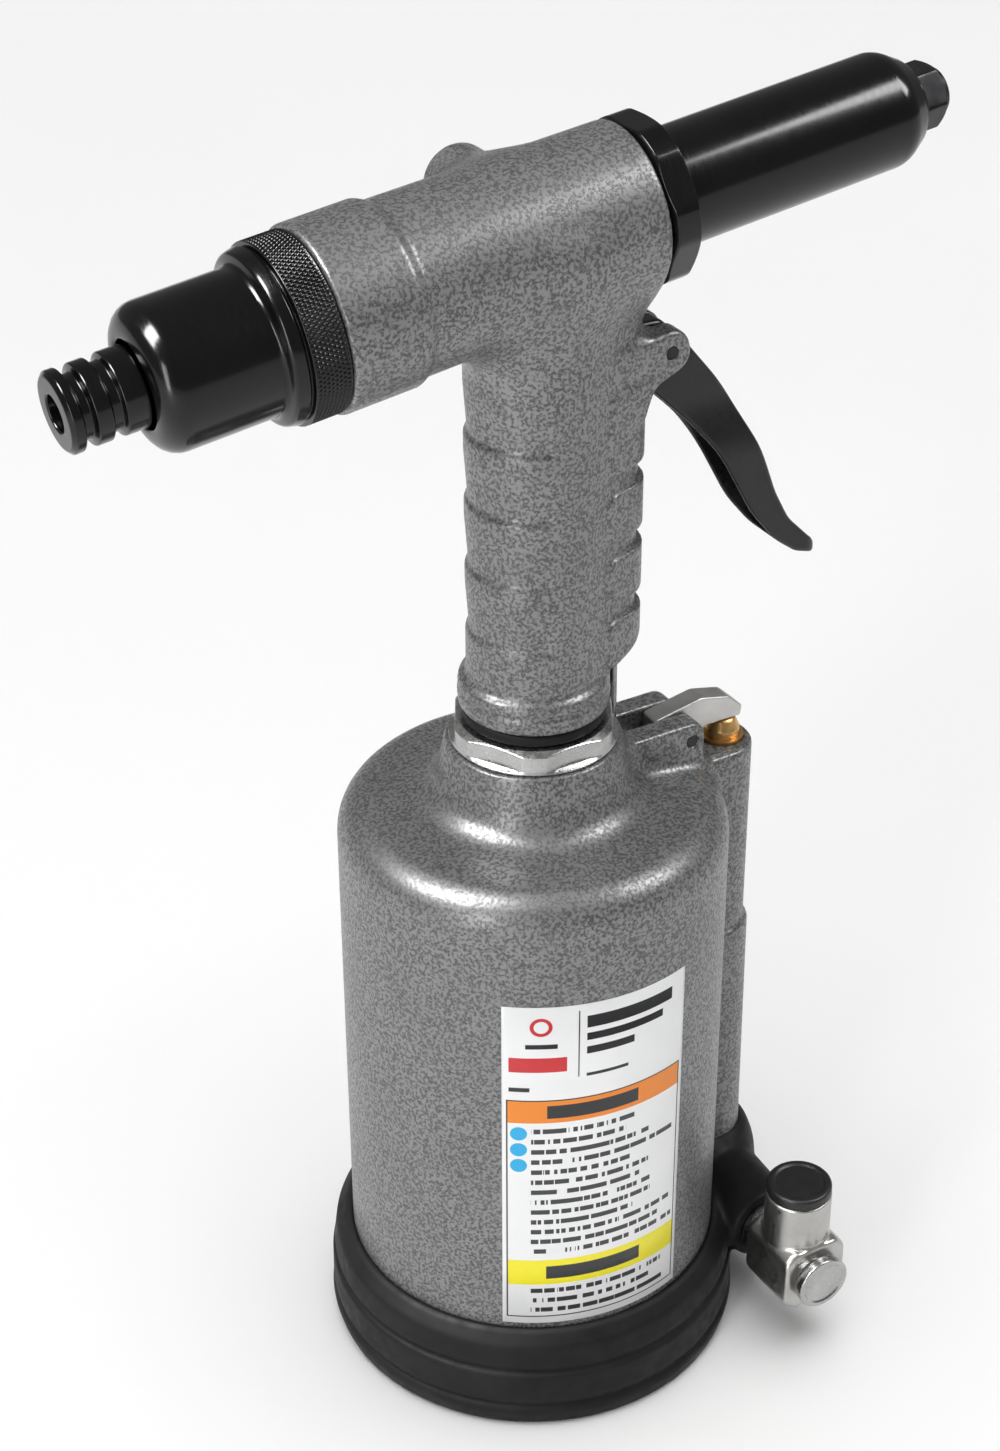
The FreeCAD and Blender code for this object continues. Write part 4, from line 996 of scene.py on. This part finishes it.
def add_camera():
    """Camera at the photograph's viewing angle."""
    azimuth, elevation = math.radians(CAMERA_AZIMUTH), math.radians(CAMERA_ELEVATION)
    back = Vector((math.sin(azimuth) * math.cos(elevation), -math.cos(azimuth) * math.cos(elevation),
                   math.sin(elevation)))
    data = bpy.data.cameras.new("camera")
    data.lens = CAMERA_LENS
    data.sensor_width = 36.0
    data.shift_x, data.shift_y = CAMERA_SHIFT
    data.clip_start, data.clip_end = 0.01, 20
    camera = bpy.data.objects.new("camera", data)
    bpy.context.scene.collection.objects.link(camera)
    camera.rotation_mode = "QUATERNION"
    camera.location = CAMERA_TARGET + back * CAMERA_DISTANCE
    turn = (-back).to_track_quat("-Z", "Y")
    camera.rotation_quaternion = turn @ Matrix.Rotation(math.radians(CAMERA_ROLL), 4, "Z").to_quaternion()
    bpy.context.scene.camera = camera


def add_softbox(name, place, size, power, diffuse=True):
    """A rectangular soft light aimed at the gun; without its diffuse share it only makes highlights."""
    data = bpy.data.lights.new(name, "AREA")
    data.shape = "RECTANGLE"
    data.size, data.size_y = size
    data.energy = power
    light = bpy.data.objects.new(name, data)
    bpy.context.scene.collection.objects.link(light)
    light.visible_diffuse = diffuse
    light.location = place
    light.rotation_mode = "QUATERNION"
    light.rotation_quaternion = (Vector(LIGHT_TARGET) - Vector(place)).to_track_quat("-Z", "Y")


def add_ceiling(power, spread):
    """Wide even light from straight above, too diffuse to show as a highlight."""
    data = bpy.data.lights.new("ceiling", "SUN")
    data.energy = power
    data.angle = math.radians(spread)
    light = bpy.data.objects.new("ceiling", data)
    light.visible_glossy = False
    bpy.context.scene.collection.objects.link(light)


def add_floor():
    """Plain pale floor."""
    shader = Shader("floor")
    tone = shader.ramp(shader.noise(3.0, 2.0), 0.3, 0.7)
    shader.link(shader.mix(tone, (0.95, 0.95, 0.95), (0.97, 0.97, 0.97)), "Base Color")
    shader.set(Roughness=0.6)
    corners = [(-FLOOR_HALF, -FLOOR_HALF), (FLOOR_HALF, -FLOOR_HALF), (FLOOR_HALF, FLOOR_HALF),
               (-FLOOR_HALF, FLOOR_HALF)]
    floor = mesh_piece("floor", [(x, y, FLOOR_HEIGHT) for x, y in corners], [(0, 1, 2, 3)])
    floor.data.materials.append(shader.material)


def add_stage():
    """Camera, floor, world and lights."""
    add_camera()
    add_floor()
    world = bpy.data.worlds.new("world")
    bpy.context.scene.world = world
    world.use_nodes = True
    background = world.node_tree.nodes["Background"]
    background.inputs["Color"].default_value = (1, 1, 1, 1)
    background.inputs["Strength"].default_value = 0.22
    add_ceiling(2.35, 60)
    add_softbox("key", (-0.74, 0.08, 1.2), (0.5, 0.8), 52.0, diffuse=False)
    add_softbox("fill", (0.68, -0.42, 1.05), (0.36, 0.5), 10.0, diffuse=False)
    add_softbox("side", (-1.15, -0.7, 0.42), (0.3, 0.8), 7.0)
    bpy.context.scene.view_settings.view_transform = "Standard"


finish_frame_nodes()
add_castings()
add_barrel_pieces()
add_neck_pieces()
add_small_pieces()
add_springs()
add_label()
add_stage()
